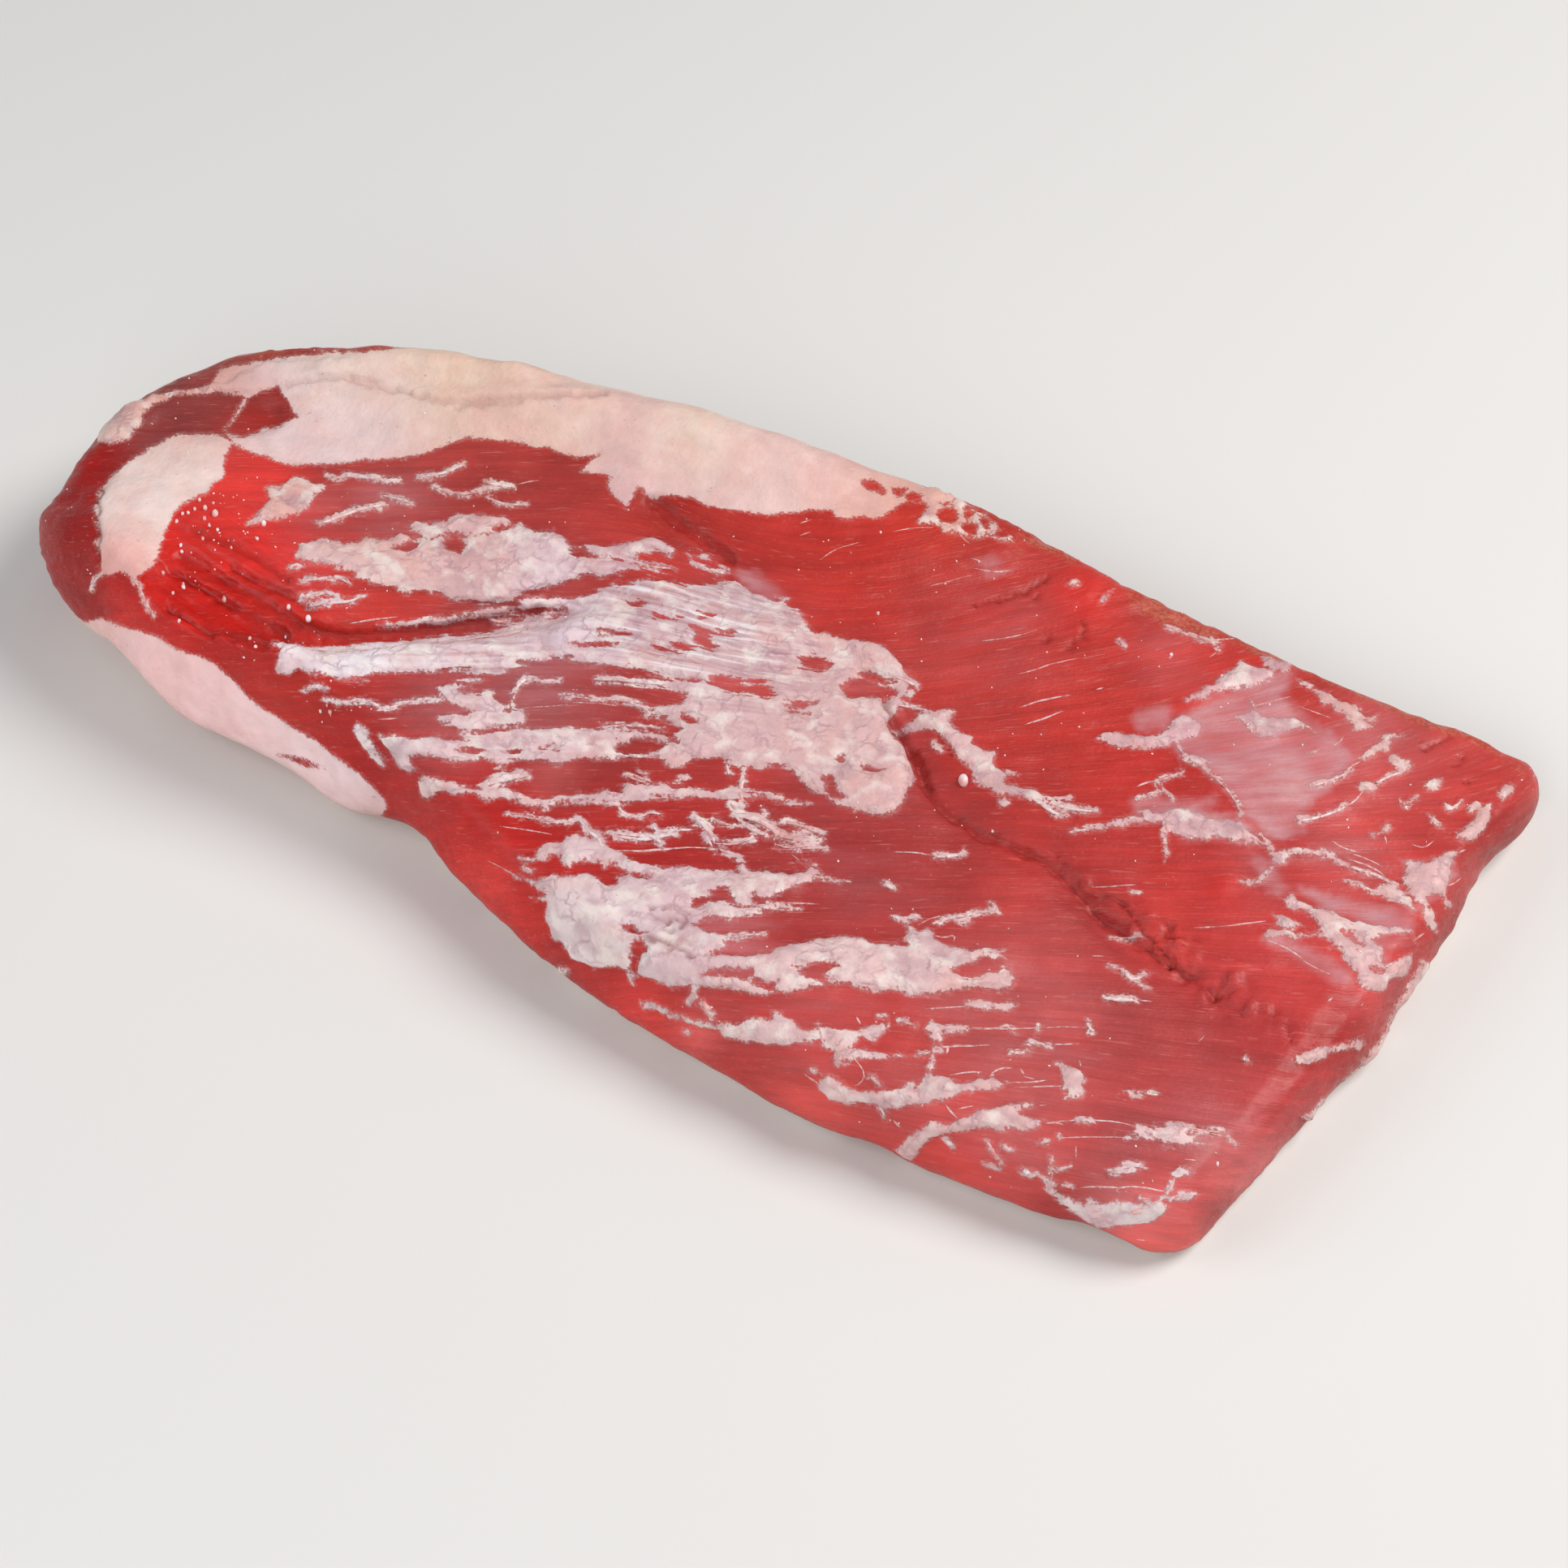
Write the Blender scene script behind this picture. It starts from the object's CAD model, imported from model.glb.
"""Looks of the raw beef brisket: one skin of meat and fat, its strands of sinew and its loose granules.

The skin is made from copies of the two CAD solids. The places of the fat, the membranes, the strands
and the cracks are read off the photograph by eye, as pixels of its 1932 x 1932 picture, and are carried
to the skin along the camera's rays. Hidden sides follow the solids: fat where the fat cap is nearest.
"""

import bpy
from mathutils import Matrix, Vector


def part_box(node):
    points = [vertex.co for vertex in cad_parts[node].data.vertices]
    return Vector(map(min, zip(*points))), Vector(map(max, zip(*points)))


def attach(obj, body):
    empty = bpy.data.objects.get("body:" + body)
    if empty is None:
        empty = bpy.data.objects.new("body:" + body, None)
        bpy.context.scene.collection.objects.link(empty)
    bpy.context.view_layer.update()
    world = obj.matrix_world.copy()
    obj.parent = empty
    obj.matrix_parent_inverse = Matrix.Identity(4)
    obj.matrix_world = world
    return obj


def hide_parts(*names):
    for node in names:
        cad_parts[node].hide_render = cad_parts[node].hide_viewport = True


bl_info = {
    "name": "Raw beef brisket",
    "version": (1, 0, 0),
    "blender": (4, 5, 0),
    "location": "View3D > Sidebar > Brisket",
    "description": "Builds the looks of a raw beef brisket around its CAD solids",
    "category": "Object",
}

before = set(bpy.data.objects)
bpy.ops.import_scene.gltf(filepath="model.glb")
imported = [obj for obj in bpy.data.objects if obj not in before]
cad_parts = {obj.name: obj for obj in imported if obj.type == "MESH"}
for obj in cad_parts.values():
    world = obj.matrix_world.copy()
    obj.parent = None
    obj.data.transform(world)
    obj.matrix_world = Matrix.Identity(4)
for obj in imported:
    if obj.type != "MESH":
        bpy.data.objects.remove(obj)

import math

import bmesh
import bpy
import numpy as np
from mathutils import Vector
from mathutils.bvhtree import BVHTree

MM = 0.001

# The camera stands where the photograph was taken, as seen from the object.
AZIMUTH = math.radians(28.6)
ELEVATION = math.radians(47)
CAMERA_DISTANCE = 1.30
VIEW_HALF_WIDTH = 0.28
CAMERA_TARGET = np.array((0.0408, -0.0195, 0.03))
SENSOR_WIDTH_MM = 36.0
RIGHTWARD = np.array((math.cos(AZIMUTH), math.sin(AZIMUTH), 0.0))
FORWARD = np.array((-math.sin(AZIMUTH) * math.cos(ELEVATION), math.cos(AZIMUTH) * math.cos(ELEVATION),
                    -math.sin(ELEVATION)))
UPWARD = np.cross(RIGHTWARD, FORWARD)
CAMERA_PLACE = CAMERA_TARGET - FORWARD * CAMERA_DISTANCE

# Half the side of the photograph in pixels, and the pixels that show one millimetre.
PHOTO_HALF = 966.0
PIXELS_PER_MM = PHOTO_HALF / (VIEW_HALF_WIDTH / MM)

# Edge of the cream fat at the thick end.
CREAM_CRESCENT = (
    118, 640, 117, 626, 121, 606, 132, 592, 148, 575, 160, 566, 175, 558, 192, 548, 207, 538, 225, 535,
    250, 533, 268, 535, 281, 540, 287, 546, 281, 556, 275, 560, 276, 573, 277, 583, 272, 590, 262, 593,
    259, 602, 256, 607, 245, 610, 238, 614, 231, 617, 222, 622, 214, 632, 209, 643, 204, 655, 198, 670,
    195, 683, 191, 694, 182, 702, 172, 709, 160, 713, 155, 707, 148, 705, 139, 706, 130, 708, 125, 702,
    124, 690, 120, 680, 117, 668, 121, 660, 119, 650,
)

# Bare dark meat between the crescent and the fat above it.
DARK_WINDOW = (
    172, 538, 175, 520, 180, 505, 192, 499, 210, 492, 240, 487, 270, 484, 296, 484, 300, 490, 292, 502,
    286, 515, 278, 527, 262, 532, 240, 533, 215, 533, 200, 537, 185, 540,
)

# Bare dark facet beside the window.
DARK_FACET = (
    284, 537, 276, 528, 290, 515, 298, 500, 312, 487, 330, 479, 345, 478, 352, 490, 360, 505, 367, 515,
    358, 519, 345, 527, 325, 528, 318, 536, 300, 541,
)

# Lower border of the fat roll, from the crescent to the right end of the roll.
ROLL_BORDER = (
    287, 546, 300, 552, 315, 560, 330, 562, 345, 568, 360, 572, 380, 573, 400, 573, 420, 570, 445, 567,
    470, 566, 495, 564, 515, 560, 530, 555, 545, 549, 560, 543, 575, 540, 590, 539, 610, 541, 645, 546,
    660, 551, 672, 550, 690, 558, 710, 563, 742, 558, 728, 568, 716, 581, 730, 582, 745, 584, 755, 588,
    747, 595, 750, 602, 757, 611, 765, 618, 772, 624, 776, 620, 781, 608, 786, 600, 792, 604, 800, 612,
    812, 612, 830, 611, 850, 612, 862, 618, 875, 624, 890, 627, 910, 629, 930, 632, 945, 634, 965, 632,
    985, 630, 1000, 628, 1012, 630, 1025, 629, 1029, 638, 1040, 640, 1055, 637, 1065, 635, 1072, 639,
    1085, 637, 1095, 630, 1108, 622, 1115, 619, 1124, 620, 1135, 618, 1142, 626,
)

# Edges of the raised patches of surface fat.
FAT_PATCHES = (
    (1752, 1182, 1738, 1208, 1728, 1226, 1712, 1256, 1700, 1280, 1684, 1301, 1667, 1320, 1650, 1337, 1640,
     1349, 1625, 1361, 1605, 1378, 1630, 1385, 1700, 1330, 1780, 1200),
    (1128, 645, 1140, 625, 1135, 605, 1150, 600, 1185, 618, 1205, 630, 1225, 645, 1245, 662, 1248, 668,
     1235, 672, 1215, 660, 1200, 665, 1188, 662, 1175, 657, 1160, 653, 1148, 648),
    (545, 893, 560, 880, 575, 885, 590, 870, 610, 875, 628, 880, 640, 872, 650, 880, 645, 892, 600, 898,
     570, 900),
    (1312, 724, 1320, 718, 1332, 720, 1325, 726), (1352, 745, 1360, 735, 1370, 728, 1362, 742),
    (120, 545, 122, 528, 136, 512, 160, 499, 198, 486, 240, 478, 280, 470, 300, 456, 330, 447, 380, 443,
     430, 441, 430, 480, 352, 482, 340, 476, 312, 484, 296, 482, 245, 484, 210, 490, 190, 500, 178, 508,
     172, 525, 160, 540, 140, 548),
    (327, 600, 345, 598, 358, 592, 367, 585, 378, 590, 392, 597, 402, 600, 398, 608, 385, 612, 383, 622,
     372, 628, 362, 632, 350, 636, 335, 640, 318, 646, 305, 649, 312, 638, 325, 628, 333, 615),
    (500, 648, 512, 643, 530, 645, 548, 645, 552, 638, 565, 634, 580, 633, 600, 634, 620, 635, 628, 645,
     615, 655, 600, 658, 585, 660, 570, 657, 550, 655, 530, 662, 510, 655),
    (362, 686, 372, 676, 370, 672, 380, 668, 400, 664, 418, 667, 440, 668, 460, 661, 480, 664, 495, 660,
     510, 664, 530, 664, 550, 657, 575, 660, 600, 660, 625, 655, 640, 646, 650, 650, 662, 656, 680, 655,
     694, 662, 697, 672, 700, 680, 712, 688, 740, 688, 760, 690, 775, 688, 790, 694, 812, 699, 790, 701,
     770, 704, 745, 707, 720, 709, 700, 716, 680, 721, 660, 727, 646, 730, 636, 736, 620, 741, 600, 743,
     565, 740, 545, 733, 520, 728, 495, 731, 480, 722, 460, 722, 445, 712, 430, 702, 400, 697, 385, 692),
    (702, 675, 725, 672, 750, 671, 770, 670, 785, 665, 803, 663, 812, 668, 822, 672, 832, 682, 825, 687,
     815, 680, 805, 676, 790, 680, 775, 688, 760, 690, 745, 688, 735, 684, 720, 676),
    (463, 770, 500, 768, 530, 763, 560, 757, 585, 754, 600, 750, 640, 751, 660, 757, 680, 760, 660, 762,
     620, 757, 600, 758, 570, 764, 540, 769, 500, 772, 470, 772),
    (332, 790, 345, 792, 360, 796, 380, 799, 410, 797, 440, 795, 460, 792, 480, 790, 510, 789, 530, 786,
     550, 783, 575, 784, 600, 783, 612, 778, 602, 775, 630, 770, 650, 766, 690, 762, 705, 757, 640, 757,
     640, 741, 660, 737, 700, 738, 730, 734, 745, 728, 760, 722, 790, 716, 820, 717, 850, 720, 880, 720,
     908, 718, 925, 730, 945, 737, 960, 740, 972, 738, 970, 748, 985, 755, 995, 765, 998, 778, 1020, 782,
     1050, 790, 1092, 799, 1108, 820, 1119, 847, 1108, 870, 1092, 893, 1102, 912, 1115, 927, 1126, 958,
     1112, 985, 1103, 1000, 1088, 1006, 1060, 1000, 1034, 992, 1015, 981, 1000, 975, 985, 960, 975, 948,
     960, 940, 945, 945, 925, 945, 905, 945, 898, 938, 890, 930, 870, 934, 850, 935, 840, 942, 825, 944,
     815, 938, 815, 925, 820, 918, 835, 915, 830, 905, 840, 898, 835, 890, 815, 885, 805, 880, 812, 872,
     838, 868, 850, 860, 838, 850, 815, 846, 800, 842, 800, 836, 830, 838, 862, 842, 850, 836, 830, 834,
     797, 831, 785, 824, 750, 820, 720, 818, 700, 811, 680, 811, 660, 815, 645, 818, 630, 822, 618, 828,
     610, 830, 590, 830, 570, 828, 545, 826, 530, 832, 515, 828, 490, 829, 460, 831, 430, 832, 452, 838,
     440, 837, 420, 836, 400, 832, 385, 830, 370, 824, 355, 830, 342, 828, 343, 815, 345, 802),
    (466, 905, 500, 908, 530, 909, 560, 912, 590, 907, 620, 900, 660, 898, 700, 897, 740, 900, 790, 902,
     820, 905, 835, 915, 825, 915, 800, 911, 780, 912, 770, 917, 760, 915, 757, 932, 740, 937, 710, 935,
     690, 941, 665, 936, 650, 940, 635, 930, 620, 938, 600, 936, 560, 938, 540, 935, 515, 930, 500, 932,
     480, 925),
    (520, 957, 535, 958, 550, 963, 570, 968, 585, 973, 605, 972, 625, 973, 640, 980, 660, 984, 690, 982,
     720, 979, 750, 976, 768, 980, 766, 970, 780, 967, 800, 970, 815, 966, 835, 972, 860, 974, 880, 978,
     900, 971, 920, 974, 945, 977, 970, 985, 1000, 990, 970, 991, 940, 984, 915, 984, 900, 982, 880, 985,
     860, 983, 830, 984, 800, 983, 780, 988, 755, 986, 735, 989, 700, 991, 685, 990, 672, 998, 665, 992,
     655, 996, 640, 990, 615, 985, 597, 989, 585, 981, 560, 977, 540, 976, 528, 984, 519, 979, 517, 968),
    (440, 890, 455, 900, 452, 908, 462, 925, 472, 935, 476, 943, 470, 946, 458, 933, 448, 920, 436, 900),
    (470, 905, 500, 912, 524, 926, 502, 934, 516, 948, 500, 950, 484, 935),
    (540, 848, 550, 843, 560, 841, 575, 838, 590, 835, 597, 837, 585, 841, 570, 846, 560, 849, 572, 855,
     592, 857, 596, 853, 606, 852, 609, 861, 616, 866, 628, 872, 620, 880, 605, 881, 585, 880, 572, 875,
     556, 867, 545, 862, 552, 860, 541, 855),
    (541, 886, 552, 881, 572, 880, 562, 886, 580, 888, 602, 890, 590, 901, 576, 905, 562, 899, 560, 893,
     548, 893),
    (622, 888, 627, 880, 630, 870, 645, 880, 648, 888, 638, 894, 628, 892),
    (608, 944, 615, 938, 628, 934, 636, 938, 625, 942, 613, 947),
    (1096, 892, 1105, 893, 1112, 897, 1120, 890, 1128, 884, 1140, 880, 1150, 876, 1160, 872, 1168, 875,
     1176, 874, 1172, 883, 1170, 890, 1176, 898, 1186, 903, 1198, 906, 1194, 914, 1205, 920, 1215, 925,
     1228, 924, 1226, 935, 1222, 943, 1240, 950, 1255, 955, 1238, 956, 1240, 965, 1252, 968, 1270, 972,
     1282, 980, 1290, 988, 1280, 992, 1270, 988, 1255, 984, 1240, 978, 1228, 978, 1212, 970, 1200, 962,
     1196, 950, 1188, 942, 1178, 930, 1170, 916, 1160, 906, 1150, 900, 1135, 900, 1118, 900, 1108, 899),
    (1230, 988, 1238, 984, 1246, 986, 1242, 994, 1234, 995),
    (1148, 912, 1158, 915, 1164, 922, 1158, 928, 1150, 922),
    (674, 1110, 660, 1106, 655, 1106, 672, 1104, 678, 1100, 668, 1093, 650, 1087, 634, 1080, 624, 1073,
     640, 1078, 660, 1084, 672, 1082, 690, 1080, 705, 1080, 720, 1075, 735, 1085, 750, 1092, 762, 1090,
     760, 1080, 775, 1080, 792, 1084, 812, 1082, 800, 1079, 780, 1074, 765, 1070, 752, 1064, 745, 1073,
     742, 1066, 735, 1060, 722, 1062, 706, 1060, 704, 1070, 696, 1068, 690, 1058, 684, 1052, 672, 1060,
     657, 1057, 664, 1048, 674, 1040, 684, 1037, 690, 1040, 697, 1032, 712, 1029, 722, 1035, 730, 1036,
     735, 1020, 742, 1028, 746, 1042, 765, 1050, 782, 1062, 800, 1068, 830, 1070, 850, 1068, 860, 1072,
     880, 1074, 900, 1074, 912, 1078, 905, 1060, 904, 1052, 915, 1060, 925, 1072, 950, 1075, 975, 1076,
     990, 1075, 1002, 1072, 998, 1062, 975, 1063, 988, 1060, 1004, 1066, 1006, 1076, 1025, 1081, 1048,
     1087, 1030, 1086, 1000, 1085, 985, 1091, 970, 1093, 960, 1098, 950, 1105, 935, 1106, 925, 1100, 930,
     1115, 920, 1120, 908, 1112, 903, 1102, 898, 1096, 885, 1096, 875, 1100, 862, 1104, 852, 1108, 852,
     1118, 862, 1118, 875, 1112, 890, 1113, 903, 1115, 915, 1120, 930, 1118, 950, 1112, 975, 1114, 960,
     1120, 940, 1124, 925, 1128, 905, 1130, 900, 1138, 896, 1130, 880, 1131, 866, 1130, 860, 1136, 850,
     1140, 862, 1146, 885, 1150, 900, 1152, 893, 1165, 880, 1173, 868, 1180, 890, 1178, 910, 1178, 935,
     1175, 950, 1177, 962, 1168, 985, 1163, 1010, 1158, 1040, 1154, 1060, 1157, 1080, 1164, 1100, 1165,
     1103, 1160, 1106, 1166, 1120, 1170, 1118, 1160, 1115, 1154, 1122, 1150, 1118, 1140, 1121, 1135, 1125,
     1144, 1135, 1148, 1140, 1142, 1146, 1146, 1150, 1155, 1165, 1165, 1180, 1170, 1200, 1172, 1220, 1170,
     1244, 1168, 1230, 1174, 1240, 1182, 1215, 1178, 1200, 1184, 1185, 1190, 1170, 1195, 1185, 1202, 1195,
     1208, 1205, 1203, 1220, 1200, 1232, 1200, 1233, 1192, 1240, 1198, 1249, 1205, 1248, 1215, 1236, 1219,
     1230, 1221, 1225, 1216, 1210, 1217, 1190, 1216, 1168, 1218, 1170, 1226, 1160, 1222, 1140, 1226, 1120,
     1228, 1112, 1220, 1085, 1221, 1070, 1220, 1055, 1213, 1030, 1214, 1010, 1214, 990, 1218, 975, 1222,
     958, 1221, 940, 1227, 920, 1222, 900, 1220, 880, 1215, 866, 1214, 858, 1222, 860, 1212, 845, 1215,
     830, 1217, 818, 1212, 805, 1206, 790, 1202, 775, 1198, 760, 1190, 750, 1190, 735, 1191, 720, 1186,
     706, 1176, 695, 1164, 684, 1158, 678, 1145, 673, 1130),
    (787, 1232, 795, 1236, 805, 1234, 818, 1240, 835, 1250, 850, 1255, 870, 1260, 890, 1262, 915, 1262,
     925, 1256, 940, 1254, 952, 1258, 951, 1244, 956, 1248, 965, 1253, 978, 1262, 990, 1269, 1000, 1272,
     1008, 1266, 1020, 1266, 1040, 1268, 1060, 1270, 1080, 1265, 1098, 1263, 1090, 1272, 1080, 1283, 1070,
     1284, 1062, 1275, 1050, 1285, 1042, 1296, 1030, 1300, 1018, 1290, 1015, 1280, 1005, 1282, 990, 1283,
     975, 1287, 950, 1286, 925, 1284, 900, 1278, 880, 1268, 862, 1266, 845, 1257, 825, 1252, 808, 1244,
     795, 1243),
    (1190, 1233, 1200, 1236, 1215, 1235, 1228, 1238, 1240, 1235, 1252, 1239, 1246, 1244, 1235, 1248, 1220,
     1244, 1205, 1244, 1193, 1242),
    (1138, 1268, 1145, 1262, 1150, 1257, 1154, 1264, 1165, 1264, 1180, 1262, 1195, 1265, 1190, 1272, 1175,
     1274, 1160, 1273, 1156, 1283, 1148, 1284, 1146, 1274),
    (1008, 1338, 1015, 1330, 1025, 1324, 1032, 1332, 1042, 1340, 1058, 1345, 1075, 1344, 1085, 1346, 1100,
     1343, 1112, 1338, 1122, 1332, 1128, 1340, 1138, 1334, 1142, 1324, 1152, 1324, 1165, 1328, 1175, 1335,
     1185, 1337, 1200, 1332, 1218, 1330, 1240, 1334, 1225, 1342, 1205, 1342, 1190, 1346, 1175, 1352, 1160,
     1355, 1145, 1360, 1130, 1361, 1112, 1362, 1095, 1366, 1078, 1361, 1060, 1358, 1040, 1357, 1022, 1352,
     1012, 1345),
    (1028, 1300, 1040, 1292, 1055, 1294, 1075, 1297, 1100, 1300, 1130, 1301, 1110, 1304, 1085, 1305, 1060,
     1305, 1040, 1310, 1032, 1316, 1026, 1308),
    (1103, 1417, 1112, 1408, 1118, 1400, 1130, 1393, 1145, 1384, 1160, 1383, 1170, 1386, 1185, 1378, 1200,
     1372, 1215, 1366, 1235, 1361, 1255, 1359, 1275, 1361, 1262, 1366, 1250, 1372, 1265, 1378, 1278, 1382,
     1288, 1381, 1275, 1391, 1260, 1392, 1245, 1389, 1232, 1394, 1215, 1389, 1195, 1391, 1175, 1394, 1160,
     1396, 1145, 1402, 1135, 1414, 1125, 1428, 1112, 1424),
    (1298, 1308, 1305, 1306, 1318, 1314, 1330, 1318, 1337, 1330, 1334, 1342, 1336, 1350, 1325, 1355, 1312,
     1352, 1320, 1346, 1310, 1340, 1308, 1328, 1306, 1316),
    (1398, 1388, 1420, 1388, 1440, 1385, 1460, 1388, 1490, 1394, 1515, 1398, 1490, 1400, 1462, 1400, 1475,
     1406, 1488, 1412, 1465, 1411, 1445, 1414, 1432, 1413, 1428, 1405, 1410, 1403, 1386, 1404, 1384, 1400,
     1400, 1396),
    (1285, 1462, 1290, 1452, 1298, 1455, 1302, 1468, 1315, 1478, 1335, 1482, 1342, 1474, 1350, 1480, 1362,
     1484, 1375, 1478, 1390, 1483, 1410, 1487, 1428, 1482, 1438, 1488, 1430, 1498, 1415, 1505, 1400, 1508,
     1385, 1510, 1370, 1508, 1355, 1512, 1340, 1505, 1330, 1498, 1318, 1492, 1305, 1480, 1294, 1474),
    (1446, 1440, 1455, 1438, 1468, 1444, 1455, 1450, 1447, 1449),
    (1455, 1470, 1470, 1468, 1478, 1470, 1465, 1478, 1455, 1477),
    (1376, 1347, 1390, 1345, 1430, 1346, 1410, 1350, 1388, 1350),
    (1350, 914, 1362, 905, 1376, 903, 1392, 907, 1415, 908, 1430, 905, 1440, 895, 1448, 885, 1455, 880,
     1470, 884, 1480, 895, 1475, 906, 1460, 912, 1440, 918, 1420, 922, 1400, 924, 1380, 921, 1362, 917),
    (1455, 862, 1468, 858, 1480, 852, 1490, 846, 1500, 838, 1512, 826, 1522, 824, 1528, 815, 1535, 818,
     1545, 822, 1560, 826, 1575, 828, 1568, 834, 1555, 842, 1545, 848, 1530, 850, 1515, 852, 1500, 855,
     1488, 860, 1475, 864, 1460, 866),
    (1550, 803, 1556, 808, 1568, 812, 1580, 816, 1591, 820, 1585, 828, 1570, 830, 1560, 822),
    (1536, 858, 1545, 868, 1548, 880, 1560, 884, 1575, 886, 1590, 884, 1600, 888, 1622, 902, 1600, 896,
     1592, 900, 1575, 902, 1568, 912, 1550, 908, 1540, 900, 1535, 890, 1518, 882, 1530, 880, 1540, 878,
     1538, 868),
    (1455, 940, 1462, 932, 1475, 930, 1490, 940, 1480, 946, 1468, 944),
    (1326, 1018, 1345, 1018, 1368, 1015, 1380, 1008, 1395, 1004, 1410, 1010, 1400, 996, 1415, 1000, 1435,
     1002, 1455, 998, 1475, 1002, 1490, 1010, 1510, 1010, 1528, 1012, 1535, 1020, 1548, 1030, 1555, 1040,
     1535, 1038, 1515, 1034, 1500, 1030, 1485, 1034, 1465, 1034, 1450, 1028, 1442, 1022, 1438, 1035, 1440,
     1050, 1436, 1062, 1433, 1045, 1430, 1030, 1430, 1015, 1410, 1014, 1390, 1014, 1372, 1020, 1345,
     1022),
    (1548, 1022, 1555, 1035, 1562, 1045, 1568, 1055, 1572, 1066, 1580, 1062, 1590, 1056, 1605, 1053, 1625,
     1053, 1640, 1058, 1648, 1062, 1645, 1052, 1630, 1048, 1610, 1046, 1595, 1045, 1585, 1048, 1575, 1050,
     1568, 1042, 1560, 1032),
    (1540, 1088, 1552, 1082, 1560, 1072, 1568, 1064, 1570, 1072, 1560, 1080, 1548, 1090, 1536, 1092, 1524,
     1085, 1535, 1084),
    (1568, 1130, 1580, 1128, 1592, 1135, 1605, 1142, 1618, 1150, 1630, 1155, 1640, 1158, 1638, 1168, 1650,
     1168, 1655, 1178, 1662, 1190, 1672, 1202, 1680, 1216, 1690, 1222, 1705, 1218, 1712, 1208, 1728, 1200,
     1738, 1185, 1740, 1175, 1725, 1178, 1715, 1190, 1700, 1188, 1705, 1175, 1700, 1165, 1690, 1160, 1700,
     1152, 1720, 1150, 1735, 1152, 1745, 1160, 1742, 1148, 1720, 1145, 1700, 1142, 1680, 1140, 1665, 1135,
     1650, 1128, 1635, 1124, 1620, 1120, 1605, 1112, 1595, 1108, 1590, 1100, 1582, 1108, 1590, 1118, 1600,
     1125, 1612, 1125, 1620, 1132, 1625, 1145, 1612, 1148, 1600, 1140, 1590, 1148, 1580, 1145, 1572,
     1138),
    (1555, 1148, 1565, 1146, 1590, 1148, 1600, 1152, 1615, 1156, 1600, 1158, 1580, 1156, 1565, 1160, 1556,
     1156),
    (1730, 1060, 1733, 1075, 1728, 1085, 1735, 1098, 1745, 1112, 1755, 1120, 1760, 1115, 1752, 1105, 1770,
     1100, 1775, 1108, 1780, 1118, 1788, 1116, 1782, 1106, 1782, 1094, 1785, 1080, 1788, 1068, 1792, 1055,
     1802, 1045, 1795, 1050, 1785, 1052, 1775, 1056, 1760, 1060, 1745, 1062),
    (1655, 1080, 1680, 1092, 1690, 1100, 1700, 1102),
    (1753, 1120, 1762, 1120, 1768, 1135, 1770, 1148, 1763, 1145, 1755, 1135),
    (1690, 1102, 1700, 1092, 1712, 1090, 1722, 1096, 1735, 1108, 1745, 1122, 1735, 1120, 1722, 1112, 1710,
     1108),
    (1672, 965, 1682, 961, 1695, 966, 1696, 974, 1686, 978, 1676, 976),
    (1757, 966, 1764, 960, 1775, 959, 1774, 968, 1764, 974, 1757, 972),
    (1705, 905, 1720, 904, 1728, 905, 1720, 910, 1712, 912, 1708, 920, 1712, 928, 1700, 926, 1690, 935,
     1680, 938, 1671, 935, 1680, 930, 1690, 920, 1700, 915),
    (1715, 930, 1725, 935, 1742, 943, 1735, 950, 1722, 948, 1712, 940),
    (1810, 992, 1820, 988, 1826, 992, 1820, 1000, 1812, 1002),
    (1828, 995, 1836, 991, 1838, 998, 1835, 1010, 1828, 1020, 1820, 1030, 1808, 1038, 1798, 1036, 1792,
     1028, 1802, 1024, 1812, 1016, 1818, 1008, 1822, 1000),
    (1845, 976, 1855, 970, 1866, 967, 1862, 978, 1850, 988, 1848, 982),
    (1757, 1003, 1765, 1005, 1775, 1014, 1780, 1020, 1775, 1022, 1765, 1014),
    (1618, 850, 1632, 852, 1645, 860, 1655, 866, 1668, 870, 1680, 873, 1668, 878, 1680, 882, 1700, 882,
     1690, 888, 1678, 890, 1690, 896, 1672, 898, 1664, 890, 1655, 880, 1640, 872, 1630, 864),
    (1700, 1018, 1710, 1014, 1716, 1020, 1708, 1026, 1702, 1024),
    (1590, 1306, 1598, 1300, 1612, 1294, 1630, 1292, 1645, 1288, 1665, 1284, 1680, 1280, 1674, 1292, 1655,
     1292, 1635, 1298, 1620, 1308, 1605, 1308),
)

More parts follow.
